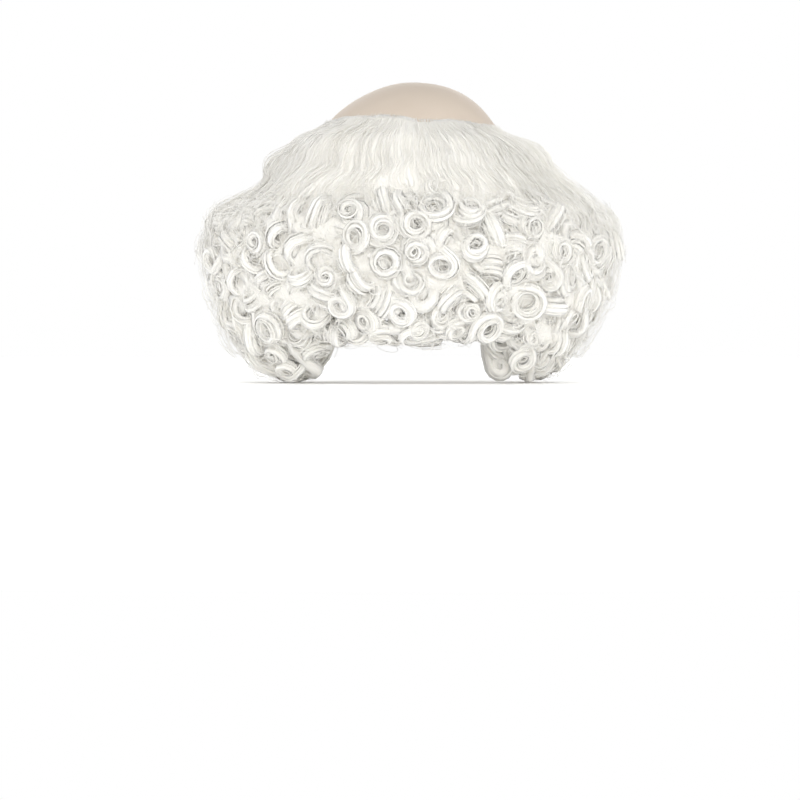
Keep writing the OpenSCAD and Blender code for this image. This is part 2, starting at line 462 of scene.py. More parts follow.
@dataclass(frozen=True)
class MouldedLatex(Finish):
    """Dipped latex rubber, powdered inside: skin-coloured, matte, faintly mottled, with fine pores.

    Real pores are about 0.2 mm across. They are drawn at pore, so that they show.
    """

    light: str = "#DED0C1"
    shade: str = "#D7C8B7"
    blotch: float = 26.0
    pore: float = 1.1

    def material(self) -> bpy.types.Material:
        """Builds the material: broad mottling for the colour, and pores for the bump.

        Returns:
            The material.
        """
        material, tree, surface = self.start()
        place = add_node(tree, "ShaderNodeTexCoord", {})
        blotches = add_node(
            tree, "ShaderNodeTexNoise", {"Scale": 1 / (self.blotch * MM), "Detail": 4.0, "Roughness": 0.6},
            {"Vector": place.outputs["Object"]},
        )
        pores = add_node(
            tree, "ShaderNodeTexNoise", {"Scale": 1 / (self.pore * MM), "Detail": 2.0},
            {"Vector": place.outputs["Object"]},
        )
        colour = add_node(
            tree, "ShaderNodeMix", {"data_type": "RGBA", 6: linear(self.shade), 7: linear(self.light)},
            {0: blotches.outputs[0]},
        )
        gloss = add_node(
            tree, "ShaderNodeMapRange",
            {"To Min": self.roughness - 0.1, "To Max": self.roughness + 0.1}, {"Value": blotches.outputs[0]},
        )
        bump = add_node(
            tree, "ShaderNodeBump", {"Strength": 0.25, "Distance": 0.12 * MM}, {"Height": pores.outputs[0]}
        )
        tree.links.new(colour.outputs[2], surface.inputs["Base Color"])
        tree.links.new(gloss.outputs[0], surface.inputs["Roughness"])
        tree.links.new(bump.outputs[0], surface.inputs["Normal"])
        return material


@dataclass(frozen=True)
class WovenThread(Finish):
    """Polyester or elastic yarn, woven or knitted: matte, with threads across and along.

    Real threads lie 0.2 to 0.4 mm apart. They are drawn at thread, about twice that, so that they show.
    """

    light: str = "#EFE9DD"
    shade: str = "#D9D0C0"
    thread: float = 0.7

    def material(self) -> bpy.types.Material:
        """Builds the material. Two wave patterns cross at the thread spacing, on the fibre attribute.

        Returns:
            The material.
        """
        material, tree, surface = self.start()
        fibre = add_node(tree, "ShaderNodeAttribute", {"attribute_name": "fibre"})
        waves = [
            add_node(
                tree, "ShaderNodeTexWave",
                {"bands_direction": way, "Scale": 0.3 / self.thread, "Distortion": 0.6, "Detail": 1.0},
                {"Vector": fibre.outputs["Vector"]},
            )
            for way in ("X", "Y")
        ]
        weave = add_node(
            tree, "ShaderNodeMath", {"operation": "MAXIMUM"},
            {0: waves[0].outputs["Fac"], 1: waves[1].outputs["Fac"]},
        )
        colour = add_node(
            tree, "ShaderNodeMix", {"data_type": "RGBA", 6: linear(self.shade), 7: linear(self.light)},
            {0: weave.outputs[0]},
        )
        bump = add_node(
            tree, "ShaderNodeBump", {"Strength": 0.5, "Distance": 0.2 * MM}, {"Height": weave.outputs[0]}
        )
        tree.links.new(colour.outputs[2], surface.inputs["Base Color"])
        tree.links.new(bump.outputs[0], surface.inputs["Normal"])
        return material


@dataclass(frozen=True)
class MouldedNylon(Finish):
    """Injection-moulded nylon: off-white, softly glossy, with a fine moulded grain.

    A real mould's grain is about 0.05 mm. It is drawn at grain, so that it shows.
    """

    light: str = "#F1EFEA"
    shade: str = "#E2DFD8"
    grain: float = 0.5

    def material(self) -> bpy.types.Material:
        """Builds the material from one fine grain, on the colour and the bump.

        Returns:
            The material.
        """
        material, tree, surface = self.start()
        place = add_node(tree, "ShaderNodeTexCoord", {})
        grain = add_node(
            tree, "ShaderNodeTexNoise", {"Scale": 1 / (self.grain * MM), "Detail": 2.0},
            {"Vector": place.outputs["Object"]},
        )
        colour = add_node(
            tree, "ShaderNodeMix", {"data_type": "RGBA", 6: linear(self.shade), 7: linear(self.light)},
            {0: grain.outputs[0]},
        )
        bump = add_node(
            tree, "ShaderNodeBump", {"Strength": 0.2, "Distance": 0.05 * MM}, {"Height": grain.outputs[0]}
        )
        tree.links.new(colour.outputs[2], surface.inputs["Base Color"])
        tree.links.new(bump.outputs[0], surface.inputs["Normal"])
        return material


@dataclass
class Wardrobe:
    """Every finish of the wig, built once, and the way that a piece gets its finish and its body."""

    hair: bpy.types.Material = field(default_factory=ModacrylicHair("modacrylic_hair", 0.42).material)
    latex: bpy.types.Material = field(default_factory=MouldedLatex("moulded_latex", 0.5, 1.52).material)
    net: bpy.types.Material = field(
        default_factory=WovenThread("polyester_net", 0.7, 1.5, "#DDD6CA", "#C3B9A8", 0.4).material
    )
    tape: bpy.types.Material = field(
        default_factory=WovenThread("cotton_tape", 0.75, 1.5, "#EFE8DA", "#D8CDB9", 0.8).material
    )
    elastic: bpy.types.Material = field(
        default_factory=WovenThread("braided_elastic", 0.65, 1.5, "#F6F4EF", "#DEDAD0", 0.9).material
    )
    nylon: bpy.types.Material = field(default_factory=MouldedNylon("moulded_nylon", 0.38, 1.53).material)
    satin: bpy.types.Material = field(
        default_factory=WovenThread("satin_ribbon", 0.4, 1.5, "#FCFCFB", "#EFEFEC", 0.35).material
    )

    def dress(
        self, piece: bpy.types.Object, material: bpy.types.Material, nodes: tuple[str, ...] = (),
        body: Optional[str] = "root",
    ) -> None:
        """Gives a piece its finish and body, and hides the CAD nodes that it stands for.

        Args:
            piece: the piece.
            material: its finish.
            nodes: the CAD nodes that it stands for.
            body: the CAD body that it rides on, or None for a piece that is attached to no body.
        """
        piece.data.materials.clear()
        piece.data.materials.append(material)
        if nodes:
            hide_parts(*nodes)
        if body:
            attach(piece, body)
        LOG.info("%s: %d points", piece.name, len(piece.data.vertices))


# ---------------------------------------------------------------- the head and the hair's outline


@dataclass
class CapForm:
    """The cap's own surface, which every layer is offset from."""

    top: float
    centre_y: float
    half_wide: float = 80.0
    half_long: float = 100.0
    dome: float = 75.0
    nape_r: float = 66.0
    crown_t: float = 1.2
    hairline: float = 57.0
    crown_edge: float = 60.0
    front_rim: float = 86.0
    ear_level: float = 125.0
    nape_level: float = 193.0
    tab_level: float = 151.0
    tab_turn: float = 116.5
    tab_half: float = 10.6
    hair_end: float = 128.0

    @property
    def widest(self) -> float:
        """Height of the cap's widest level."""
        return self.top - self.crown_t - self.dome

    def point(self, turn: Amount, level: Amount, offset: Amount) -> np.ndarray:
        """Points on the cap.

        Over the dome the radii shrink as sin(level) and the height grows as cos(level). Below it the radii
        go over smoothly to the nape's radius, and the height falls by 1 for each level.

        Args:
            turn: turns from the middle of the back.
            level: levels.
            offset: distances outwards.

        Returns:
            Points shaped as the arguments broadcast together, with 3 at the end.
        """
        turn, level, offset = np.broadcast_arrays(
            np.asarray(turn, float), np.asarray(level, float), np.asarray(offset, float)
        )
        th = np.radians(turn - 90)
        wide = mix(self.half_wide, self.nape_r, ramp(level, 115, 165))
        back = mix(self.half_long, self.nape_r, ramp(level, 105, 168))
        front = mix(self.half_long, 80, ramp(level, 120, 200))
        dome = level < 90
        angle = np.radians(np.minimum(level, 90))
        reach = np.where(dome, np.sin(angle), 1.0)
        height = np.where(
            dome, self.widest + (self.dome + offset) * np.cos(angle), self.widest - (level - 90)
        )
        long = np.where(np.sin(th) > 0, front, back)
        return np.stack(
            [
                (wide + offset) * reach * np.cos(th),
                self.centre_y + (long + offset) * reach * np.sin(th),
                height,
            ],
            axis=-1,
        )

    def crown_rim(self, turn: Amount) -> np.ndarray:
        """Level of the crown's lower edge: high behind, and low over the forehead."""
        return mix(self.crown_edge, self.front_rim, ramp(np.abs(turn), 120, 138))

    def net_hem(self, turn: Amount) -> np.ndarray:
        """Level of the net's lower edge: at the nape behind, and above the ears at the sides."""
        return mix(self.nape_level, self.ear_level, ramp(np.abs(turn), 50, 78))

    def tab_tip(self, turn: Amount) -> np.ndarray:
        """Level of an ear tab's lower edge: half an oval, tab_half wide each way, down to tab_level."""
        across_tab = (np.abs(turn) - self.tab_turn) / self.tab_half
        return mix(self.ear_level + 7, self.tab_level, np.sqrt(np.clip(1 - across_tab ** 2, 0, 1)))

    def level_at(self, depth: Amount) -> np.ndarray:
        """Level of the cap at a depth: the angle whose cosine is 1 - depth / dome, then 1 for each 1.

        Args:
            depth: depths below the crown's top.

        Returns:
            Levels.
        """
        depth = np.asarray(depth, float)
        angle = np.degrees(np.arccos(np.clip(1 - depth / self.dome, -1, 1)))
        return np.where(depth < self.dome, angle, 90 + depth - self.dome)


@dataclass
class HairForm:
    """The outline that the hair fills, and where each weft starts.

    The three lines are pairs of a depth and the outline's half width or half length there.
    """

    cap: CapForm
    hair_in: float = 3.9
    nape_hang: float = 214.0
    track_levels: tuple = (57, 72, 86, 104, 120, 138, 156, 174)
    track_ends: tuple = (126, 126, 126, 124, 64, 62, 58, 54)
    back_depths: tuple = (30, 60, 85, 108, 130, 152, 174, 194, 214)
    side_depths: tuple = (30, 75, 110, 165, 242, 242, 242, 242, 242)
    side_line: tuple = (
        (30, 70), (42, 86), (62, 112), (81, 124), (106, 162), (138, 170), (177, 161), (215, 138), (234, 118),
        (242, 104),
    )
    back_line: tuple = (
        (30, 88), (42, 97), (62, 112), (81, 124), (106, 146), (138, 152), (177, 147), (205, 132), (214, 118),
    )
    front_line: tuple = ((30, 92), (62, 110), (106, 124), (177, 126), (215, 118), (242, 104))
    combed_back: float = 98.0
    combed_side: float = 104.0

    def side_share(self, turn: Amount) -> np.ndarray:
        """How far a turn belongs to the side of the head and not to the back."""
        return ramp(np.abs(turn), 34, 68)

    def temple_rise(self, turn: Amount) -> np.ndarray:
        """How far the hair's lower edge has risen towards the temple."""
        return 46 * ramp(np.abs(turn), 98, self.cap.hair_end)

    def hairline(self, turn: Amount) -> np.ndarray:
        """Level at which the hair starts: over the crown's edge, and higher on the left than the right."""
        tilt = 3.4 * ramp(turn, -20, 8) + 2.2 * ramp(turn, 10, 80) + 1.5 * ramp(-turn, 30, 90)
        return 53.6 + tilt + 0.4 * np.sin(np.radians(turn * 9)) + 0.25 * np.sin(np.radians(turn * 23 + 40))

    def hem(self, turn: Amount) -> np.ndarray:
        """Depth of the hair's lower edge."""
        return mix(self.nape_hang, self.cap.top, self.side_share(turn)) - self.temple_rise(turn)

    def weft_of(self, turn: np.ndarray, depth: np.ndarray) -> np.ndarray:
        """Number of the weft, from 1 to 8, whose hair shows at a place.

        Args:
            turn: turns from the middle of the back.
            depth: depths below the crown's top.

        Returns:
            Whole numbers.
        """
        share = self.side_share(turn)[..., None]
        edges = mix(np.array(self.back_depths, float), np.array(self.side_depths, float), share)
        edges = edges - self.temple_rise(turn)[..., None] * np.arange(9) / 8
        return np.clip((depth[..., None] >= edges).sum(-1), 1, 8)

    def outside(self, turn: Amount, depth: Amount) -> np.ndarray:
        """Points on the hair's outline.

        The outline is an oval at each depth, whose half width and half length are read off the lines. It is
        squeezed upwards behind, where the hair ends higher, and drawn in to the cap towards the temples. On
        the left it is also drawn in between the combed hair and the curls, and let out near its end.

        Args:
            turn: turns from the middle of the back.
            depth: depths below the crown's top.

        Returns:
            Points, with 3 at the end.
        """
        turn, depth = np.broadcast_arrays(np.asarray(turn, float), np.asarray(depth, float))
        th = np.radians(turn - 90)
        low = mix(self.nape_hang, self.cap.top, self.side_share(turn))
        wide = np.interp(depth * self.cap.top / low, *zip(*self.side_line))
        wide = wide - 7 * ramp(-turn, 15, 60) * ramp(depth, 58, 84) * (1 - ramp(depth, 88, 114))
        wide = wide + 8 * ramp(-turn, 45, 80) * ramp(depth, 175, 215)
        front = np.interp(depth, *zip(*self.front_line))
        back = np.interp(depth * self.nape_hang / low, *zip(*self.back_line))
        long = np.where(np.sin(th) > 0, front, back)
        oval = np.stack([wide * np.cos(th), self.cap.centre_y + long * np.sin(th), self.cap.top - depth], -1)
        root = self.cap.point(turn, self.cap.level_at(depth), self.hair_in)
        root[..., 2] = oval[..., 2]
        drawn = 0.84 * ramp(np.abs(turn), 92, self.cap.hair_end) ** 2
        return mix(oval, root, drawn[..., None])

    def inside(self, turn: Amount, depth: Amount) -> np.ndarray:
        """Points on the hair's inner face, which stands off the neck and the ears at the sides.

        Args:
            turn: turns from the middle of the back.
            depth: depths below the crown's top.

        Returns:
            Points, with 3 at the end.
        """
        level = self.cap.level_at(depth)
        lift = self.hair_in + 19 * self.side_share(turn) * ramp(level, 125, 170)
        return self.cap.point(turn, level, lift)

    def phase(self, turn: Amount) -> np.ndarray:
        """Phase of the combed hair's waves: it drifts slowly with the turn, so neighbours wave together."""
        return 1.2 * np.sin(np.radians(turn * 3.1)) + 0.7 * np.sin(np.radians(turn * 7.7 + 50))

    def combed_end(self, turn: Amount, back: float, side: float) -> np.ndarray:
        """Depth at which combed hair ends, from its end behind and its end at the sides."""
        end = mix(back, side, self.side_share(turn)) - 0.5 * self.temple_rise(turn)
        return end + 3 * np.sin(np.radians(turn * 7))

    def combed(
        self, turn: Amount, depth: Amount, first: Amount, lift: float, inset: Amount, phase: Amount
    ) -> np.ndarray:
        """Points on combed hair, which leaves the cap for the outline within 18 of where it starts.

        It moves outwards by 1.7 * sin(2 pi * (depth - 36) / 33 + phase) and sideways, in degrees, by
        sin(2 pi * depth / 29 + 1.7 * phase), where the sideways wave grows from a depth of 45 to one of 85.

        Args:
            turn: turns from the middle of the back.
            depth: depths below the crown's top.
            first: the depth at which the hair starts.
            lift: how far it stands off the cap there.
            inset: how far it lies inside the outline.
            phase: the phase of its waves.

        Returns:
            Points, with 3 at the end.
        """
        turn = turn + np.sin(2 * np.pi * depth / 29 + 1.7 * phase) * ramp(depth, 45, 85)
        low = self.cap.point(turn, self.cap.level_at(depth - 1.2), lift)
        low[..., 2] = self.cap.top - depth
        out = self.facing(self.outside, turn, depth)
        swell = 1.7 * np.sin(2 * np.pi * (depth - 36) / 33 + phase) * ramp(depth - first, 3, 20)
        high = self.outside(turn, depth) - out * np.asarray(inset)[..., None]
        return mix(low, high, ramp(depth - first, 0, 18)[..., None]) + out * swell[..., None]

    def below(self, turn: Amount, depth: Amount) -> np.ndarray:
        """Points on the hair's underside, which goes inwards as the depth goes from the hem to 30 past it.

        Args:
            turn: turns from the middle of the back.
            depth: depths below the crown's top.

        Returns:
            Points, with 3 at the end.
        """
        hem = self.hem(turn)
        share = np.asarray((depth - hem) / 30)[..., None]
        return mix(self.outside(turn, hem - 2), self.inside(turn, hem - 2), share)

    def facing(self, surface: Callable, turn: Amount, depth: Amount) -> np.ndarray:
        """Unit vectors out of a surface: its change with depth crossed with its change with turn.

        Args:
            surface: the method that gives the surface's points.
            turn: turns from the middle of the back.
            depth: depths below the crown's top.

        Returns:
            Unit vectors, with 3 at the end.
        """
        along = surface(turn + 0.5, depth) - surface(turn - 0.5, depth)
        down = surface(turn, depth + 1) - surface(turn, depth - 1)
        return unit(np.cross(down, along))


# ---------------------------------------------------------------- locks of hair


@dataclass
class LockPaths:
    """Centre lines of many locks, each a run from its root and then a coil."""

    run: np.ndarray
    coil: np.ndarray
    axis: np.ndarray
    turn: np.ndarray
    weft: np.ndarray

    def take(self, chosen: np.ndarray) -> "LockPaths":
        """The locks that a mask chooses."""
        return LockPaths(*(part[chosen] for part in (self.run, self.coil, self.axis, self.turn, self.weft)))

    def line(self) -> tuple[np.ndarray, np.ndarray]:
        """The whole centre lines and their side vectors.

        In the coil the side is the coil's axis. Along the run it is carried back from the coil's start with
        as little twist as the bends allow: at each station it loses its share along the path.

        Returns:
            Points and side vectors, each shaped (locks, stations, 3).
        """
        path = np.concatenate([self.run, self.coil[:, 1:]], axis=1)
        ahead = unit(np.gradient(path, axis=1))
        side = np.repeat(self.axis[:, None], path.shape[1], axis=1)
        side = across(side, ahead)
        for i in range(self.run.shape[1] - 2, -1, -1):
            side[:, i] = across(side[:, i + 1], ahead[:, i])
        return path, side


def wind(
    start: np.ndarray, ahead: np.ndarray, inwards: np.ndarray, radius: np.ndarray, turns: np.ndarray,
    pitch: np.ndarray, shrink: np.ndarray, stations: int,
) -> tuple[np.ndarray, np.ndarray]:
    """Winds coils that leave their starts smoothly.

    With r = radius * (1 - shrink * share) and p the angle wound, a point is centre - inwards * r * cos(p)
    + ahead * r * sin(p) + axis * pitch * p / 360 degrees, where centre is start + inwards * radius and axis
    is ahead crossed with inwards.

    Args:
        start: where each coil starts.
        ahead: its direction there.
        inwards: the direction from there to the coil's middle.
        radius: its first radius.
        turns: how many times it goes round.
        pitch: how far it moves along its axis each time.
        shrink: the share of its radius that it loses by its end.
        stations: the number of points along each.

    Returns:
        The points, shaped (coils, stations, 3), and the axes.
    """
    inwards = across(inwards, ahead)
    axis = np.cross(ahead, inwards)
    share = np.linspace(0, 1, stations)[None]
    p = 2 * np.pi * turns[:, None] * share
    r = radius[:, None] * (1 - shrink[:, None] * share)
    centre = start + inwards * radius[:, None]
    points = (
        centre[:, None]
        - inwards[:, None] * (r * np.cos(p))[..., None]
        + ahead[:, None] * (r * np.sin(p))[..., None]
        + axis[:, None] * (pitch[:, None] * p / (2 * np.pi))[..., None]
    )
    return points, axis


def bezier(a: np.ndarray, b: np.ndarray, c: np.ndarray, d: np.ndarray, stations: int) -> np.ndarray:
    """Cubic curves: (1-s)^3 a + 3 s (1-s)^2 b + 3 s^2 (1-s) c + s^3 d, for s from 0 to 1.

    Args:
        a: where each curve starts.
        b: the point that it leaves towards.
        c: the point that it comes in from.
        d: where it ends.
        stations: the number of points along each.

    Returns:
        Points, shaped (curves, stations, 3).
    """
    s = np.linspace(0, 1, stations)[None, :, None]
    a, b, c, d = (x[:, None] for x in (a, b, c, d))
    return (1 - s) ** 3 * a + 3 * s * (1 - s) ** 2 * b + 3 * s * s * (1 - s) * c + s ** 3 * d


@dataclass(frozen=True)
class LockBuild:
    """How a lock is made up: ribbons of fibre wrapped round its centre line like bark, and loose strands."""

    ribbons: int
    strands: int
    half_width: float
    half_thick: float
    ribbon_width: float
    ribbon_thick: float
    sides: int = 4
    strand_r: float = 0.3
    wrap: float = 1.0
    splay: float = 0.3

    def skins(self, paths: LockPaths, rng: np.random.Generator) -> list[Skin]:
        """Builds the ribbons and the strands.

        Ribbon k lies at angle w = 360 k / ribbons + phase + twist * share round the centre line, at
        cos(w) * half_width along the side vector and sin(w) * half_thick across it. Its width follows that
        oval's own tangent where wrap is 1, and the side vector where wrap is 0. It drifts in and out by
        splay along its way, is thin at its root and tapers to its tip.

        Args:
            paths: the locks.
            rng: the source of the small differences.

        Returns:
            One skin of ribbons and one of strands, where there are any.
        """
        path, side = paths.line()
        locks, stations = path.shape[:2]
        ahead = unit(np.gradient(path, axis=1))
        rad = np.cross(ahead, side)
        share = np.linspace(0, 1, stations)[None]
        skins = []
        for count, spread, width, thick, sides in (
            (self.ribbons, 0.8, self.ribbon_width, self.ribbon_thick, self.sides),
            (self.strands, 1.2, self.strand_r, self.strand_r, 3),
        ):
            if not count:
                continue
            shape = (locks, count, 1)
            k = np.arange(count)[None, :, None]
            w = 2 * np.pi * k / count + rng.uniform(0, 2 * np.pi, (locks, 1, 1))
            w = w + rng.uniform(-0.3, 0.3, shape)
            w = w + rng.uniform(-1.8, 1.8, (locks, 1, 1)) * share[:, None]
            reach = spread * rng.uniform(0.86, 1.1, shape) * (0.35 + 0.65 * ramp(share, 0, 0.3))[:, None]
            drift = rng.uniform(0.8, 2.4, shape) * share[:, None] + rng.uniform(0, 1, shape)
            reach = reach * (1 + self.splay * (2.4 if sides == 3 else 1.0) * np.sin(2 * np.pi * drift))
            reach = reach * (1 - 0.6 * ramp(share, 0.75, 1.0)[:, None])
            x, y = np.cos(w) * self.half_width * reach, np.sin(w) * self.half_thick * reach
            lines = path[:, None] + x[..., None] * side[:, None] + y[..., None] * rad[:, None]
            lay_side = mix(1.0, -np.sin(w) * self.half_width, self.wrap)
            lay_rad = mix(0.0, np.cos(w) * self.half_thick, self.wrap)
            lay = lay_side[..., None] * side[:, None] + lay_rad[..., None] * rad[:, None]
            fall = rng.uniform(0.8, 1.0, shape)
            thin_root = (0.5 + 0.5 * ramp(share, 0, 0.2))[:, None]
            taper = thin_root * (1 - 0.85 * ramp(share[:, None] / fall, 0.7, 1.0))
            size = rng.uniform(0.85, 1.2, shape) * taper
            flat = (locks * count, stations)
            skins.append(
                tubes(
                    lines.reshape(*flat, 3),
                    lay.reshape(*flat, 3),
                    (width * size).reshape(flat),
                    (thick * size).reshape(flat),
                    sides,
                    rng.uniform(0, 500, (locks * count, 3)),
                    np.clip(rng.uniform(-0.1, 0.1, (locks * count, 1)), 0, 1) * np.ones(stations),
                )
            )
        return skins


@dataclass
class Ringlets:
    """Ring curls: their middles are spread over a face, and each hangs from its weft's track."""

    hair: HairForm
    face: Face
    inset: float
    gap: float
    radius: tuple[float, float]
    turns: tuple[float, float]
    first_depth: float
    last_turn: float
    run_stations: int
    coil_stations: int
    outward_share: float = 0.55
    first_turn: float = 0.0

    @property
    def surface(self) -> Callable:
        """The outline's method that gives points on the curls' face."""
        form = self.hair
        return {Face.OUTSIDE: form.outside, Face.BELOW: form.below, Face.INSIDE: form.inside}[self.face]

    def middles(self, rng: np.random.Generator) -> tuple[np.ndarray, np.ndarray, np.ndarray]:
        """Spreads points over the face, none nearer to another than their gap.

        Args:
            rng: the source of the points, tried in turn until the face is full.

        Returns:
            Turns, depths and sizes, where a size from 0 to 1 sets how large the curl is.
        """
        tries = 7000
        turn = rng.uniform(-self.last_turn, self.last_turn, tries)
        share = rng.uniform(0, 1, tries)
        size = rng.uniform(0, 1, tries)
        hem = self.hair.hem(turn)
        depth = hem + 30 * share if self.face is Face.BELOW else mix(self.first_depth, hem - 3, share)
        places = self.surface(turn, depth)
        gaps = self.gap * mix(0.86, 1.14, size)
        kept: list[int] = []
        held = np.zeros((tries, 3))
        held_gap = np.zeros(tries)
        for i in np.flatnonzero((np.abs(turn) >= self.first_turn) & (depth > self.first_depth)):
            n = len(kept)
            room = (gaps[i] + held_gap[:n]) / 2
            if (np.linalg.norm(held[:n] - places[i], axis=1) >= room).all():
                held[n], held_gap[n] = places[i], gaps[i]
                kept.append(i)
        return turn[kept], depth[kept], size[kept]

    def paths(self, rng: np.random.Generator) -> LockPaths:
        """Works out every lock's run and coil.

        A share outward_share of the coils lie flat on the face, with their axes near its normal, and
        the rest lie on their sides. Each coil's middle is sunk by inset and by half of the room that the
        coil takes up along the normal: c * half its height + sqrt(1 - c^2) * its radius, where c is the
        cosine between the two.

        Args:
            rng: the source of the small differences.

        Returns:
            The locks.
        """
        turn, depth, size = self.middles(rng)
        n = len(turn)
        sign = -1.0 if self.face is Face.INSIDE else 1.0
        out = sign * self.hair.facing(self.surface, turn, depth)
        radius = mix(self.radius[0], self.radius[1], size)
        level = np.cross(out, np.array([0.0, 0.0, 1.0]))
        spin = rng.uniform(0, 2 * np.pi, n)[:, None]
        slant = unit(level) * np.cos(spin) + np.cross(out, unit(level)) * np.sin(spin)
        facing = rng.uniform(0, 1, n) < self.outward_share
        tilt = np.where(facing, rng.uniform(0.05, 0.55, n), rng.uniform(0.95, 1.45, n))[:, None]
        hand = np.where(rng.uniform(0, 1, n) < 0.5, 1, -1)[:, None]
        axis = unit(out * np.cos(tilt) + slant * np.sin(tilt)) * hand
        turns = rng.uniform(*self.turns, n)
        pitch = np.where(facing, rng.uniform(2.4, 4.2, n), rng.uniform(4.5, 7.0, n))
        half_tall = pitch * turns / 2 + 4.5
        stand = np.abs((axis * out).sum(-1))
        proud = stand * half_tall + np.sqrt(1 - stand ** 2) * (radius + 3)
        middle = self.surface(turn, depth) - out * (self.inset + proud)[:, None]
        middle[:, 2] = np.maximum(middle[:, 2], radius + 4)

        weft = self.hair.weft_of(turn, np.minimum(depth, self.hair.hem(turn) - 1))
        ends = np.array(self.hair.track_ends, float)[weft - 1]
        levels = np.array(self.hair.track_levels, float)[weft - 1]
        root_turn = np.clip(turn + rng.uniform(-4, 4, n), -ends, ends)
        root = self.hair.cap.point(root_turn, levels + 3, 2.4)
        below = self.hair.cap.point(root_turn, levels + 8, 4.4)
        to_middle = middle - root
        stray = rng.normal(0, 0.18, (n, 3)) * np.linalg.norm(to_middle, axis=1)[:, None]
        ahead = across(to_middle + stray, axis)
        outer = np.cross(ahead, axis)
        start = middle + outer * radius[:, None] - axis * (pitch * turns / 2)[:, None]
        coil, wound_axis = wind(
            start, ahead, -outer, radius, turns, pitch, rng.uniform(0.6, 0.85, n), self.coil_stations
        )
        share = np.linspace(0, 1, self.coil_stations)[None, :, None]
        sway = np.sin(2 * np.pi * (share * rng.uniform(0.7, 1.5, (n, 1, 1)) + rng.uniform(0, 1, (n, 1, 1))))
        coil = coil + (rng.normal(0, 1.5, (n, 1, 3)) * sway) * ramp(share, 0, 0.25)

        leave = unit(below - root)
        length = np.linalg.norm(start - root, axis=1)[:, None]
        run = bezier(
            root, root + leave * length * 0.4, start - ahead * length * 0.35, start, self.run_stations
        )
        return LockPaths(run, coil, wound_axis, turn, weft)


@dataclass
class CombedTier:
    """Combed hair below the hairline: strands that wave together, and tuck in under the curls.

    Its locks are spacing degrees of turn apart.
    """

    hair: HairForm
    weft: int
    spacing: float
    end_back: float
    end_side: float
    tuck: float = 11.0
    stations: int = 30

    def paths(self, rng: np.random.Generator) -> LockPaths:
        """Works out the locks.

        A lock's depth goes evenly from its root to its end, which goes in by tuck.

        Args:
            rng: the source of the small differences.

        Returns:
            The locks.
        """
        hair, cap = self.hair, self.hair.cap
        end = hair.track_ends[self.weft - 1]
        n = int(2 * end / self.spacing)
        turn = np.linspace(-end, end, n) + rng.uniform(-0.3, 0.3, n) * self.spacing
        root = cap.point(turn, hair.hairline(turn), 2.3)
        first = (cap.top - root[:, 2])[:, None]
        last = hair.combed_end(turn, self.end_back, self.end_side) + rng.uniform(-5, 5, n)
        share = np.linspace(0, 1, self.stations)[None]
        depth = mix(first, last[:, None], share)
        inset = 0.3 + rng.uniform(-0.2, 0.2, n)[:, None] + self.tuck * ramp(share, 0.78, 1.0)
        phase = (hair.phase(turn) + rng.uniform(-0.07, 0.07, n))[:, None]
        run = hair.combed(turn[:, None], depth, first, 2.6, inset, phase)
        run[:, 0] = root
        out = hair.facing(hair.outside, turn, last)
        ahead = unit(run[:, -1] - run[:, -2])
        coil, _ = wind(
            run[:, -1], ahead, -out, rng.uniform(6, 9, n), rng.uniform(0.15, 0.4, n),
            np.zeros(n), np.zeros(n), 5,
        )
        return LockPaths(run, coil, across(np.cross(out, ahead), ahead), turn, np.full(n, self.weft))


@dataclass
class CombedSheet:
    """The body of the hair: fibres that lie close together, smooth above and hidden by curls below."""

    hair: HairForm
    columns_per_degree: float = 3.2
    rows: int = 44
    thick: float = 1.6
    inset: float = 1.1
    drop: float = 10.5
    reach: float = 126.0
    above_hem: float = 24.0
    grooves: tuple = ((0.6, 0.05), (1.7, 0.09), (5.0, 0.2))

    def waver(self, turn: np.ndarray, step: float, height: float, rng: np.random.Generator) -> np.ndarray:
        """A random value up to height at every step degrees, and straight lines between them."""
        places = np.arange(-130, 131, step)
        return height * np.interp(turn, places, rng.uniform(-1, 1, len(places)))

    def skin(self, zone: Zone, rng: np.random.Generator) -> Skin:
        """Builds the sheet over one stretch of the head.

        Its outer face lies inset inside the outline as far as the combed hair goes. Below that it lies
        drop further in, and stops short of the face. Each column is raised by the sum of three wavering
        lines, which leaves soft grooves between the bundles of fibre.

        Args:
            zone: the stretch.
            rng: the source of the grooves.

        Returns:
            A closed skin.
        """
        hair, cap = self.hair, self.hair.cap
        start, end = max(zone.value[0], -self.reach), min(zone.value[1], self.reach)
        columns = int((end - start) * self.columns_per_degree)
        turn = np.linspace(start, end, columns)
        groove = sum(self.waver(turn, step, height, rng) for step, height in self.grooves)[:, None]
        turn = turn[:, None]
        first = cap.top - cap.point(turn, hair.hairline(turn), 2.0)[..., 2]
        share = np.linspace(0, 1, self.rows)[None]
        depth = mix(first, hair.hem(turn) - self.above_hem, share ** 1.15)
        combed_end = hair.combed_end(turn, hair.combed_back, hair.combed_side)
        place = turn * (1 - 0.17 * ramp(depth - combed_end, -22, 12))
        raised = groove * ramp(depth - first, 0, 8)
        inset = self.inset - raised + self.drop * ramp(depth - combed_end, -16, 4)
        outer = hair.combed(place, depth, first, 2.0, inset, hair.phase(turn))
        inner = hair.combed(place, depth, first, 1.9, inset + self.thick, hair.phase(turn))
        inner = mix(inner, outer - [0, 0, 0.4], (1 - ramp(depth - first, 0, 14))[..., None])
        points = np.concatenate([outer, inner[:, ::-1]], axis=1)
        along = np.concatenate([depth, depth[:, ::-1]], axis=1)
        fibre = np.stack([along * 1.3, turn * 1.9 + 0 * along, 0 * along], axis=-1)
        return closed_grid(points, fibre, False)


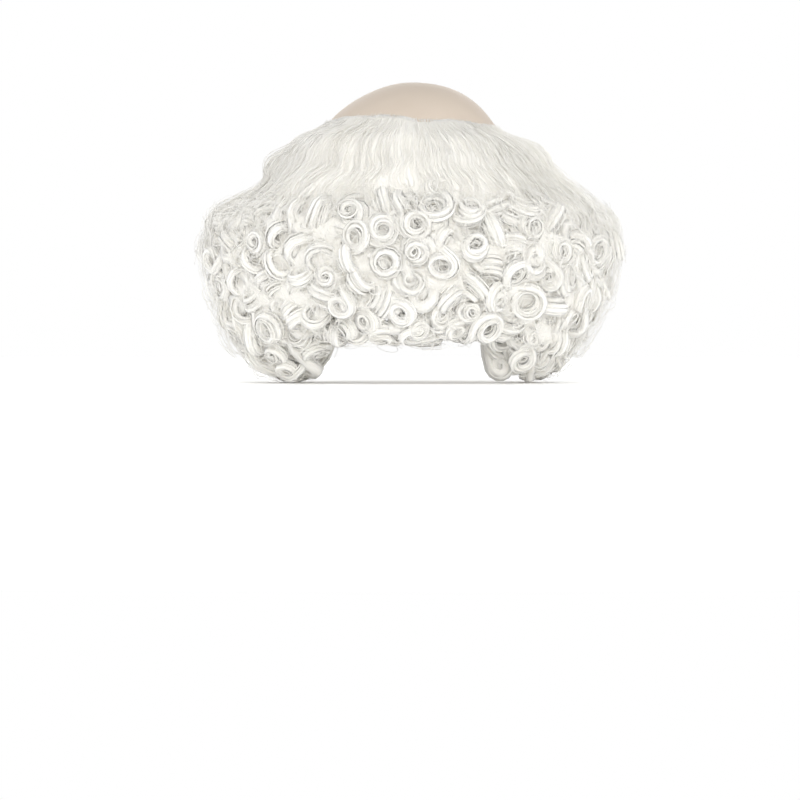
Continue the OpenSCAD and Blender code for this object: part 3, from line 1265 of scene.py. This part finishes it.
@dataclass
class LooseStrands:
    """Single loose strands in open loops: flyaways that stand out, and frizz that lies on the curls."""

    hair: HairForm
    name: str
    count: int
    strand_r: float
    stations: int
    sink: tuple[float, float]
    radius: tuple[float, float]
    turns: tuple[float, float]
    outwards: float

    def skin(self, rng: np.random.Generator) -> Skin:
        """Builds the strands: each starts sink below the outline and winds a loop.

        Args:
            rng: the source of their places and shapes.

        Returns:
            One skin that holds them all.
        """
        n = self.count
        turn = rng.uniform(-122, 122, n)
        depth = mix(84.0, self.hair.hem(turn) - 6, rng.uniform(0, 1, n))
        out = self.hair.facing(self.hair.outside, turn, depth)
        ahead = self.outwards * out + [0.0, 0.0, -0.4] + rng.normal(0, 0.5, (n, 3))
        ahead = unit(ahead) if self.outwards else across(ahead, out)
        start = self.hair.outside(turn, depth) - out * rng.uniform(*self.sink, n)[:, None]
        run = bezier(start - ahead * 14, start - ahead * 9, start - ahead * 4, start, self.stations // 4)
        inwards = rng.normal(0, 1, (n, 3)) if self.outwards else np.cross(out, ahead) - 0.4 * out
        coil, axis = wind(
            start, ahead, inwards, rng.uniform(*self.radius, n), rng.uniform(*self.turns, n),
            rng.uniform(-5, 5, n), rng.uniform(-0.2, 0.4, n), self.stations - self.stations // 4,
        )
        path = np.concatenate([run, coil[:, 1:]], axis=1)
        path[..., 2] = np.maximum(path[..., 2], 1.0)
        taper = 1 - 0.6 * np.linspace(0, 1, path.shape[1])[None] ** 2
        size = np.full((n, 1), self.strand_r) * taper
        return tubes(
            path, np.repeat(axis[:, None], path.shape[1], axis=1), size, size, 3,
            rng.uniform(0, 500, (n, 3)), np.zeros(path.shape[:2])
        )


@dataclass
class Hair:
    """All the hair, weft by weft."""

    hair: HairForm
    ringlet: LockBuild = LockBuild(
        ribbons=10, strands=5, half_width=5.8, half_thick=3.9, ribbon_width=2.0, ribbon_thick=0.45,
        strand_r=0.2, splay=0.2,
    )
    under: LockBuild = LockBuild(
        ribbons=4, strands=0, half_width=5.0, half_thick=4.2, ribbon_width=4.4, ribbon_thick=0.9,
        splay=0.14,
    )
    wave: LockBuild = LockBuild(
        ribbons=0, strands=6, half_width=5.0, half_thick=2.2, ribbon_width=0.0, ribbon_thick=0.0,
        strand_r=0.24, wrap=0.0, splay=0.3,
    )
    combed: LockBuild = LockBuild(
        ribbons=0, strands=6, half_width=3.8, half_thick=0.3, ribbon_width=0.0, ribbon_thick=0.0,
        strand_r=0.25, wrap=0.0, splay=0.1,
    )

    def combed_sets(self) -> list[tuple[str, LockBuild, CombedTier]]:
        """The combed and the waved hair.

        Returns:
            Each with its pieces' word, its make-up and its paths.
        """
        hair = self.hair
        top = CombedTier(hair, 1, 1.8, hair.combed_back, hair.combed_side)
        waved = CombedTier(hair, 2, 3.2, 116.0, 126.0, tuck=-2.6, stations=26)
        return [("combed", self.combed, top), ("waved", self.wave, waved)]

    def curled_sets(self) -> list[tuple[str, LockBuild, Ringlets]]:
        """The four layers of curls.

        Returns:
            Each with its pieces' word, its make-up and its paths.
        """
        ringlets = Ringlets(
            self.hair, Face.OUTSIDE, inset=-2.0, gap=21.0, radius=(8.0, 14.0), turns=(1.9, 3.2),
            first_depth=86, last_turn=124, run_stations=11, coil_stations=33,
        )
        under = Ringlets(
            self.hair, Face.OUTSIDE, inset=5.0, gap=20.5, radius=(7.0, 10.5), turns=(1.6, 2.4),
            first_depth=92, last_turn=122, run_stations=6, coil_stations=21, outward_share=0.7,
        )
        hem = Ringlets(
            self.hair, Face.BELOW, inset=-1.0, gap=20.5, radius=(7.0, 11.5), turns=(1.6, 2.6),
            first_depth=168, last_turn=122, run_stations=10, coil_stations=32, outward_share=0.5,
        )
        inner = Ringlets(
            self.hair, Face.INSIDE, inset=-1.0, gap=20.0, radius=(8.0, 10.5), turns=(1.5, 2.2),
            first_depth=168, last_turn=122, run_stations=8, coil_stations=24, outward_share=0.6,
            first_turn=54,
        )
        return [
            ("ringlets", self.ringlet, ringlets),
            ("under", self.under, under),
            ("hem", self.ringlet, hem),
            ("inner", self.under, inner),
        ]

    def build(self, wardrobe: Wardrobe) -> None:
        """Builds every piece of hair and dresses it. The lowest curls are pressed flat on the floor.

        Args:
            wardrobe: the finishes.
        """
        rng = np.random.default_rng(SEED)
        parts: dict[str, list[Skin]] = {}
        wefts: dict[str, int] = {}
        for word, make_up, source in self.combed_sets() + self.curled_sets():
            paths = source.paths(rng)
            LOG.info("%s: %d locks", word, len(paths.turn))
            for weft in range(1, 9):
                for zone in Zone:
                    chosen = (paths.weft == weft) & zone.holds(paths.turn)
                    if chosen.any():
                        name = f"weft_{weft}_{word}_{zone.name.lower()}"
                        parts.setdefault(name, []).extend(make_up.skins(paths.take(chosen), rng))
                        wefts[name] = weft
        for name, skins in parts.items():
            skin = Skin.join(skins)
            skin.points[:, 2] = np.maximum(skin.points[:, 2], 0.2)
            piece = skin.make(name)
            wardrobe.dress(piece, wardrobe.hair, (f"hair_weft_{wefts[name]}",))
        for zone in Zone:
            sheet = CombedSheet(self.hair).skin(zone, rng).make(f"combed_sheet_{zone.name.lower()}")
            wardrobe.dress(sheet, wardrobe.hair)
        for loose in (
            LooseStrands(
                self.hair, "flyaway_strands", count=190, strand_r=0.3, stations=46, sink=(4, 8),
                radius=(3.5, 7.5), turns=(0.7, 1.8), outwards=1.0,
            ),
            LooseStrands(
                self.hair, "frizz_strands", count=1300, strand_r=0.22, stations=20, sink=(-5, 4),
                radius=(6.0, 13.0), turns=(0.4, 1.0), outwards=0.0,
            ),
        ):
            wardrobe.dress(loose.skin(rng).make(loose.name), wardrobe.hair)


# ---------------------------------------------------------------- the crown and the cap


@dataclass
class Crown:
    """The moulded latex crown: one thin shell with a rolled rim and a faint pucker above the hairline."""

    cap: CapForm
    columns: int = 200
    rings: int = 52
    pucker: float = 0.45
    lean: float = 1.5
    bead: float = 0.35
    first_share: float = 0.012

    def build(self, wardrobe: Wardrobe) -> None:
        """Builds and dresses the crown.

        Each column runs down the outside from near the top, round the rim and up the inside. The top is
        closed with a small fan. The outside is lifted by pucker * sin(turn * 11) * sin(turn * 4.3), which
        fades out within 14 levels above the rim. Both faces are moved out by lean * sin(turn) halfway down,
        so that the crown is fuller on the right than on the left. The front rim is rolled to a bead.

        Args:
            wardrobe: the finishes.
        """
        cap = self.cap
        turn = np.linspace(-180, 180, self.columns, endpoint=False)[:, None]
        down = np.linspace(self.first_share, 1, self.rings)
        share = np.concatenate([down, np.linspace(1, self.first_share, self.rings)])[None]
        outer = np.repeat([1.0, 0.0], self.rings)[None]
        edge = ramp(share, 0.97, 1.0)
        rim = cap.crown_rim(turn)
        level = rim * share
        near = ramp(level - rim, -14, -1)
        ripple = np.sin(np.radians(turn * 11)) * np.sin(np.radians(turn * 4.3 + 30))
        lean = self.lean * np.sin(np.radians(turn)) * np.sin(np.pi * share) ** 2
        offset = mix(0.0, cap.crown_t, outer) + self.pucker * near * ripple * outer + lean
        roll = self.bead * np.sin(np.pi * edge) * (2 * outer - 1) * ramp(np.abs(turn), 125, 140)
        points = cap.point(turn, level, offset + roll)
        columns, ring = points.shape[:2]
        skin = closed_grid(points, points, True)
        top, low = points[:, 0].mean(0), points[:, -1].mean(0)
        grid = np.arange(columns * ring).reshape(columns, ring)
        keep = ~np.isin(skin.quads, grid[:, 0]).any(1) | ~np.isin(skin.quads, grid[:, -1]).any(1)
        around = np.roll(grid, -1, axis=0)
        n = columns * ring
        fans = np.concatenate([
            np.stack([grid[:, 0], around[:, 0], np.full(columns, n)], -1),
            np.stack([around[:, -1], grid[:, -1], np.full(columns, n + 1)], -1),
        ])
        skin = Skin(
            np.concatenate([skin.points, [top + [0, 0, 0.01], low + [0, 0, 0.01]]]), skin.quads[keep], fans,
            np.zeros((n + 2, 3)), np.zeros(n + 2),
        )
        skin = self.with_facing_fans(skin)
        wardrobe.dress(skin.make("latex_crown"), wardrobe.latex, ("bald_crown",))

    @staticmethod
    def with_facing_fans(skin: Skin) -> Skin:
        """Turns the two fans so that the upper one faces up and the lower one faces down.

        Args:
            skin: the crown's skin, whose triangles are the upper fan and then the lower one.

        Returns:
            The same skin.
        """
        a, b, c = (skin.points[skin.tris[:, i]] for i in range(3))
        up = np.cross(b - a, c - a)[:, 2] > 0
        half = len(skin.tris) // 2
        want = np.arange(len(skin.tris)) < half
        wrong = up != want
        skin.tris[wrong] = skin.tris[wrong][:, ::-1]
        return skin


@dataclass
class Tape:
    """A strip sewn to the cap: a thin slab with rounded edges, between two levels and two offsets."""

    turns: tuple[float, float]
    top: Edge
    bottom: Edge
    inner: float
    outer: float
    columns: int = 96
    rows: int = 8
    ribs: float = 0.0
    rib_pitch: float = 1.2

    def skin(self, cap: CapForm) -> Skin:
        """Builds the slab.

        Each column goes down the outside and up the inside. Its edges are rounded by drawing both faces
        together as 0.25 + 0.75 * sqrt(1 - u^8), where u goes from -1 to 1 across the strip. Fine grooves,
        ribs deep and rib_pitch apart, run along it.

        Args:
            cap: the cap's surface.

        Returns:
            A closed skin.
        """
        turn = np.linspace(*self.turns, self.columns)[:, None]
        down = np.concatenate([np.linspace(-1, 1, self.rows), np.linspace(1, -1, self.rows)])[None]
        outer = np.repeat([1.0, -1.0], self.rows)[None]
        middle, half = (self.inner + self.outer) / 2, (self.outer - self.inner) / 2
        plump = 0.25 + 0.75 * np.sqrt(1 - np.abs(down) ** 8)
        level = mix(self.top(turn), self.bottom(turn), (down + 1) / 2)
        width = np.abs(self.bottom(turn) - self.top(turn))
        rib = self.ribs * np.cos(2 * np.pi * (down + 1) / 2 * width / self.rib_pitch)
        offset = middle + outer * (half * plump + np.minimum(rib, 0) * (np.abs(down) < 0.98))
        points = cap.point(turn, level, offset)
        fibre = np.stack(
            [np.radians(turn) * 85 + 0 * down, level + 0 * down, offset + 0 * level], axis=-1
        )
        return closed_grid(points, fibre, False)


@dataclass
class NetCap:
    """The stretch net, knitted in diamonds, and the tapes that hold it in shape."""

    cap: CapForm
    mesh_pitch: float = 2.9
    thread_r: float = 0.24
    rib_half: float = 2.5

    def net(self) -> Skin:
        """Builds the net from short threads.

        Knots stand at every other point of a grid, whose columns are mesh_pitch apart round the cap and
        whose rows are mesh_pitch apart in level. Each knot is tied to the two below it.

        Returns:
            One skin of closed threads.
        """
        cap = self.cap
        degrees = np.degrees(self.mesh_pitch / 88)
        columns = np.arange(-round(cap.hair_end / degrees), round(cap.hair_end / degrees) + 1)
        rows = np.arange(0, int((cap.nape_level - cap.hairline) / self.mesh_pitch) + 1)
        i, j = (x.ravel() for x in np.meshgrid(columns, rows, indexing="ij"))
        knots = (i + j) % 2 == 0
        starts, ends = [], []
        for step in (-1, 1):
            a = np.stack([i[knots], j[knots]], -1)
            b = a + [step, 1]
            turn = b[:, 0] * degrees
            level = cap.hairline - 2 + b[:, 1] * self.mesh_pitch
            inside = (level <= cap.net_hem(turn)) & (np.abs(turn) <= cap.hair_end)
            starts.append(a[inside])
            ends.append(b[inside])
        a, b = np.concatenate(starts), np.concatenate(ends)
        share = np.linspace(0, 1, 3)[None, :, None]
        spot = mix(a[:, None].astype(float), b[:, None].astype(float), share)
        turn = spot[..., 0] * degrees
        level = cap.hairline - 2 + spot[..., 1] * self.mesh_pitch
        path = cap.point(turn, level, -0.9)
        side = cap.point(turn, level, 1.0) - path
        size = np.full(path.shape[:2], self.thread_r)
        start = np.stack([a[:, 0] * 1.7, a[:, 1] * 2.3, a[:, 0] * 0.0], -1)
        return tubes(path, side, size, size, 3, start, np.zeros(path.shape[:2]))

    def bands(self) -> list[tuple[str, str, Tape]]:
        """The elastic bands and the seam tape.

        Returns:
            Each with its piece's name and its CAD node.
        """
        hem = self.cap.net_hem
        return [
            ("forehead_elastic", "forehead_band", Tape(
                (138.0, 222.0), level_edge(77.0), level_edge(85.0), -1.6, -0.5, ribs=0.12)),
            ("seam_tape", "hairline_seam_tape", Tape(
                (-124.0, 124.0), level_edge(53.0), level_edge(63.0), -2.6, -1.7, 160)),
            ("hem_tape", "hem_elastic", Tape(
                (-104.0, 104.0), lowered(hem, 0.5), lowered(hem, 4), -1.2, 0.4, 200, ribs=0.12)),
            ("nape_elastic", "nape_band", Tape(
                (-54.0, 54.0), level_edge(174.0), level_edge(187.0), -2.5, -1.4, 120, 16, ribs=0.15)),
        ]

    def uprights(self) -> list[tuple[str, str, Tape]]:
        """The five rib tapes that carry the wefts.

        Returns:
            Each with its piece's name and its CAD node.
        """
        places = {"centre": 0, "back_left": -32, "back_right": 32, "side_left": -96, "side_right": 96}
        half, hem = self.rib_half, self.cap.net_hem
        return [
            (f"rib_{word}_tape", f"rib_{word}", Tape(
                (at - half, at + half), level_edge(62.0), lowered(hem, -1), 0.1, 0.6, 8, 90))
            for word, at in places.items()
        ]

    def front_edges(self) -> list[tuple[str, str, Tape]]:
        """The bindings at the temples and the ear tabs.

        Returns:
            Each with its piece's name and its CAD node.
        """
        cap, edges = self.cap, []
        for side in Side:
            binding = Tape(
                side.turns(cap.hair_end + 0.4, cap.hair_end + 2.6), level_edge(88.0), level_edge(125.0),
                -1.1, 0.4, 8, 30,
            )
            tab = Tape(
                side.turns(cap.tab_turn - cap.tab_half, cap.tab_turn + cap.tab_half), level_edge(125.5),
                cap.tab_tip, -0.9, 0.3, 48, 14,
            )
            edges.append((f"temple_binding_{side.word}", f"temple_tape_{side.word}", binding))
            edges.append((f"ear_tab_cloth_{side.word}", f"ear_tab_{side.word}", tab))
        return edges

    def build(self, wardrobe: Wardrobe) -> None:
        """Builds and dresses the net and its tapes.

        Args:
            wardrobe: the finishes.
        """
        wardrobe.dress(self.net().make("diamond_net"), wardrobe.net, ("cap_net",))
        for name, node, tape in self.bands() + self.uprights() + self.front_edges():
            material = wardrobe.elastic if tape.ribs else wardrobe.tape
            wardrobe.dress(tape.skin(self.cap).make(name), material, (node,))


@dataclass
class WeftTracks:
    """The sewn heads of the wefts: a folded band with three rows of machine stitches over it."""

    cap: CapForm
    hair: HairForm
    faces: tuple[float, float] = (1.3, 2.5)
    first_faces: tuple[float, float] = (1.25, 1.7)
    first_drop: float = 1.6
    tall: float = 3.4
    stitch: float = 2.6

    def build(self, wardrobe: Wardrobe) -> None:
        """Builds and dresses each track. The first is thin, and follows the hairline.

        Args:
            wardrobe: the finishes.
        """
        for row, (level, end) in enumerate(zip(self.hair.track_levels, self.hair.track_ends), start=1):
            inner, outer = self.first_faces if row == 1 else self.faces
            top = lowered(self.hair.hairline, self.first_drop) if row == 1 else level_edge(level)
            band = Tape((-end, end), top, lowered(top, self.tall), inner, outer, 140, 6).skin(self.cap)
            skins = [band] + [self.seam(top, share * self.tall, end, outer) for share in (0.2, 0.5, 0.8)]
            piece = Skin.join(skins).make(f"weft_track_{row}_sewn")
            wardrobe.dress(piece, wardrobe.hair, (f"weft_track_{row}",))

    def seam(self, top: Edge, drop: float, end: float, offset: float) -> Skin:
        """Builds one row of stitches: a zigzag thread, half sunk in the band's outer face.

        Args:
            top: the level of the band's top at each turn.
            drop: how far below it the row lies.
            end: the turn at which it stops, on both sides.
            offset: the band's outer face.

        Returns:
            A closed skin.
        """
        count = int(2 * math.radians(end) * 88 / self.stitch)
        step = np.linspace(-1, 1, count * 2 + 1)
        turn = end * step
        level = top(turn) + drop + np.where(np.arange(count * 2 + 1) % 2 == 0, -0.35, 0.35)
        path = self.cap.point(turn, level, offset + 0.05)[None]
        side = self.cap.point(turn, level, offset + 1.0)[None] - path
        size = np.full(path.shape[:2], 0.2)
        return tubes(path, side, size, size, 4, np.zeros((1, 3)), np.full(path.shape[:2], 0.4))


@dataclass
class NapeAdjuster:
    """The loops, anchors, elastic straps and hooks that tighten the cap at the nape.

    first, pitch, hook_span, strap_span and anchor_span are turns in degrees. The rest are lengths.
    """

    cap: CapForm
    level: float = 181.0
    band_in: float = 63.5
    first: float = 4.0
    pitch: float = 4.0
    loops: int = 5
    hook_span: float = 7.0
    strap_span: float = 19.0
    anchor_span: float = 6.0
    strap_tall: float = 6.0
    loop_tall: float = 6.0
    loop_stations: int = 15

    @property
    def last_loop(self) -> float:
        """Turn of the outermost loop, where the hook's tongue starts at rest."""
        return self.first + self.pitch * (self.loops - 1)

    @property
    def hook_end(self) -> float:
        """Turn at which the hook ends and the strap goes on, at rest."""
        return self.last_loop + self.hook_span

    @property
    def strap_end(self) -> float:
        """Turn at which the strap ends under its anchor."""
        return self.hook_end + self.strap_span

    def arc(
        self, turns: tuple[float, float], r_in: float, r_out: float, tall: float, ribs: float = 0.0
    ) -> Skin:
        """Builds a strip about the nape's own axis.

        Args:
            turns: where it starts and ends.
            r_in: its inner radius.
            r_out: its outer radius.
            tall: its height.
            ribs: the depth of its fine grooves.

        Returns:
            A closed skin.
        """
        top, r = level_edge(self.level - tall / 2), self.cap.nape_r
        return Tape(turns, top, lowered(top, tall), r_in - r, r_out - r, 60, 10, ribs, 1.1).skin(self.cap)

    def loop(self, turn: float) -> Skin:
        """Builds one thread loop: a band that stands off the tape as half a wave.

        Args:
            turn: its turn.

        Returns:
            A closed skin.
        """
        stations = self.loop_stations
        share = np.linspace(0, 1, stations)
        level = self.level - self.loop_tall / 2 + self.loop_tall * share
        offset = self.band_in - self.cap.nape_r - 0.8 - 0.7 * np.sin(np.pi * share)
        path = self.cap.point(np.full(stations, turn), level, offset)[None]
        side = self.cap.point(np.full(stations, turn + 1), level, offset)[None] - path
        wide, thick = np.full((1, stations), 0.6), np.full((1, stations), 0.28)
        return tubes(path, side, wide, thick, 8, np.zeros((1, 3)), np.zeros((1, stations)))

    def build(self, wardrobe: Wardrobe) -> None:
        """Builds and dresses both sides. The hooks stay the CAD's own solids, in moulded nylon.

        Args:
            wardrobe: the finishes.
        """
        for side in Side:
            self.build_loops(side, wardrobe)
            self.build_strap(side, wardrobe)
            hook = frame["nodes"][f"adjuster_hook_{side.word}"]
            hook.data.materials.clear()
            hook.data.materials.append(wardrobe.nylon)

    def build_loops(self, side: Side, wardrobe: Wardrobe) -> None:
        """Builds and dresses one side's row of loops on its tape.

        Args:
            side: the side.
            wardrobe: the finishes.
        """
        tape = self.arc(side.turns(2, self.last_loop + 3), self.band_in - 0.9, self.band_in - 0.2, 7.0)
        loops = [self.loop(side.value * (self.first + i * self.pitch)) for i in range(self.loops)]
        row = Skin.join([tape, *loops]).make(f"loop_row_{side.word}")
        wardrobe.dress(row, wardrobe.elastic, (f"loop_tape_{side.word}",))

    def build_strap(self, side: Side, wardrobe: Wardrobe) -> None:
        """Builds and dresses one side's anchor and strap. The strap runs from the anchor to the hook.

        Args:
            side: the side.
            wardrobe: the finishes.
        """
        anchor_start = self.strap_end - self.anchor_span
        patch = self.arc(
            side.turns(anchor_start, self.strap_end), self.band_in - 2.8, self.band_in - 0.2, 8.0
        ).make(f"anchor_patch_{side.word}")
        wardrobe.dress(patch, wardrobe.tape, (f"strap_anchor_{side.word}",))
        strap = self.arc(
            side.turns(self.hook_end - 2.6, self.strap_end), self.band_in - 3.95, self.band_in - 3.0,
            self.strap_tall, 0.12,
        ).make(f"elastic_strap_{side.word}")
        wardrobe.dress(strap, wardrobe.elastic, (f"adjuster_strap_{side.word}",), None)
        held, pulled = (
            tuple(self.cap.point(side.value * turn, self.level, -3.0) * MM)
            for turn in (anchor_start, self.hook_end)
        )
        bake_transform(strap)


@dataclass
class CareLabel:
    """A blank satin label, sewn flat inside the nape."""

    cap: CapForm
    turns: tuple[float, float] = (-7.0, 7.0)
    levels: tuple[float, float] = (150.0, 168.0)

    def build(self, wardrobe: Wardrobe) -> None:
        """Args:
            wardrobe: the finishes.
        """
        top, bottom = self.levels
        strip = Tape(self.turns, level_edge(top), level_edge(bottom), -2.0, -1.5, 24, 24)
        label = strip.skin(self.cap).make("blank_label")
        wardrobe.dress(label, wardrobe.satin, ("care_label",))


# ---------------------------------------------------------------- the studio


@dataclass(frozen=True)
class SoftBox:
    """A square area light that points at the wig: its place and side in metres, and its power in watts."""

    name: str
    place: tuple[float, float, float]
    size: float
    power: float

    def hang(self) -> bpy.types.Object:
        """Makes the light, turned towards the middle of the wig.

        Returns:
            The light.
        """
        data = bpy.data.lights.new(self.name, "AREA")
        data.size = self.size
        data.energy = self.power
        lamp = bpy.data.objects.new(self.name, data)
        lamp.location = self.place
        bpy.context.scene.collection.objects.link(lamp)
        away = lamp.location.copy()
        away.z -= 0.12
        lamp.rotation_mode = "QUATERNION"
        lamp.rotation_quaternion = away.to_track_quat("Z", "Y")
        return lamp


@dataclass
class Studio:
    """A white floor, a white surround, soft lights and the camera. Its lengths are in metres."""

    distance: float = 2.8
    lens: float = 157.0
    sensor: float = 36.0
    aim_x: float = -0.0088
    aim_z: float = -0.0143
    camera_z: float = 0.045
    bounces: int = 12
    surround_light: float = 0.51
    floor_r: float = 2.2
    floor_drop: float = 0.0005
    floor_sides: int = 96
    soft_boxes: tuple[SoftBox, ...] = (
        SoftBox("behind_camera", (0.3, -3.0, 1.6), 2.0, 56.0),
        SoftBox("left_fill", (-3.0, 0.0, 0.6), 2.0, 15.0),
        SoftBox("right_fill", (3.0, 0.0, 0.6), 2.0, 11.0),
        SoftBox("face_fill", (0.0, 3.2, 0.7), 2.0, 26.0),
    )
    floor_box: SoftBox = SoftBox("floor_only", (0.0, 0.0, 4.0), 8.0, 150.0)

    def build(self) -> None:
        """Builds the floor, the surround, the lights and the camera."""
        floor = self.floor()
        self.surround()
        for box in self.soft_boxes:
            box.hang()
        floor_light = self.floor_box.hang()
        lit = bpy.data.collections.new("floor_light_receivers")
        lit.objects.link(floor)
        floor_light.light_linking.receiver_collection = lit
        self.camera()
        bpy.context.scene.view_settings.view_transform = "Standard"
        bpy.context.scene.cycles.diffuse_bounces = self.bounces

    def floor(self) -> bpy.types.Object:
        """Lays a round floor just below the lowest curls.

        Returns:
            The floor.
        """
        sides, r = self.floor_sides, self.floor_r
        angle = 2 * np.pi * np.arange(sides) / sides
        points = np.stack([r * np.cos(angle), r * np.sin(angle), np.full(sides, -self.floor_drop)], -1)
        mesh = bpy.data.meshes.new("floor")
        mesh.from_pydata(points.tolist(), [], [list(range(sides))])
        floor = bpy.data.objects.new("floor", mesh)
        bpy.context.scene.collection.objects.link(floor)
        material = bpy.data.materials.new("painted_floor")
        material.use_nodes = True
        surface = material.node_tree.nodes["Principled BSDF"]
        surface.inputs["Base Color"].default_value = linear("#FEFEFE")
        surface.inputs["Roughness"].default_value = 0.9
        mesh.materials.append(material)
        return floor

    def surround(self) -> None:
        """Makes the white surround: bright where the camera sees it, and softer as a light."""
        world = bpy.data.worlds.new("white_surround")
        bpy.context.scene.world = world
        world.use_nodes = True
        tree = world.node_tree
        tree.nodes.clear()
        seen = add_node(tree, "ShaderNodeLightPath", {})
        strength = add_node(
            tree, "ShaderNodeMapRange", {"To Min": self.surround_light, "To Max": 1.0},
            {"Value": seen.outputs["Is Camera Ray"]},
        )
        sky = add_node(
            tree, "ShaderNodeBackground", {"Color": (1, 1, 1, 1)}, {"Strength": strength.outputs[0]}
        )
        add_node(tree, "ShaderNodeOutputWorld", {}, {"Surface": sky.outputs[0]})

    def camera(self) -> None:
        """Places the camera level behind the head, and shifts the picture to the framing."""
        data = bpy.data.cameras.new("camera")
        data.lens = self.lens
        data.sensor_width = self.sensor
        span = self.distance * self.sensor / self.lens
        data.shift_y = (self.aim_z - self.camera_z) / span
        camera = bpy.data.objects.new("camera", data)
        camera.location = (self.aim_x, -self.distance, self.camera_z)
        camera.rotation_euler = (math.radians(90), 0, 0)
        bpy.context.scene.collection.objects.link(camera)
        bpy.context.scene.camera = camera


def main() -> None:
    """Builds the wig in order, and reports each piece."""
    logging.basicConfig(level=logging.INFO, format="%(name)s: %(message)s")
    axis_y = frame["joints"][0]["pos_m"][1] / MM
    cap = CapForm(top=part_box("bald_crown")[1].z / MM, centre_y=axis_y)
    hair = HairForm(cap)
    Studio().build()
    wardrobe = Wardrobe()
    Crown(cap).build(wardrobe)
    NetCap(cap).build(wardrobe)
    WeftTracks(cap, hair).build(wardrobe)
    NapeAdjuster(cap).build(wardrobe)
    CareLabel(cap).build(wardrobe)
    Hair(hair).build(wardrobe)


if __name__ == "__main__":
    main()
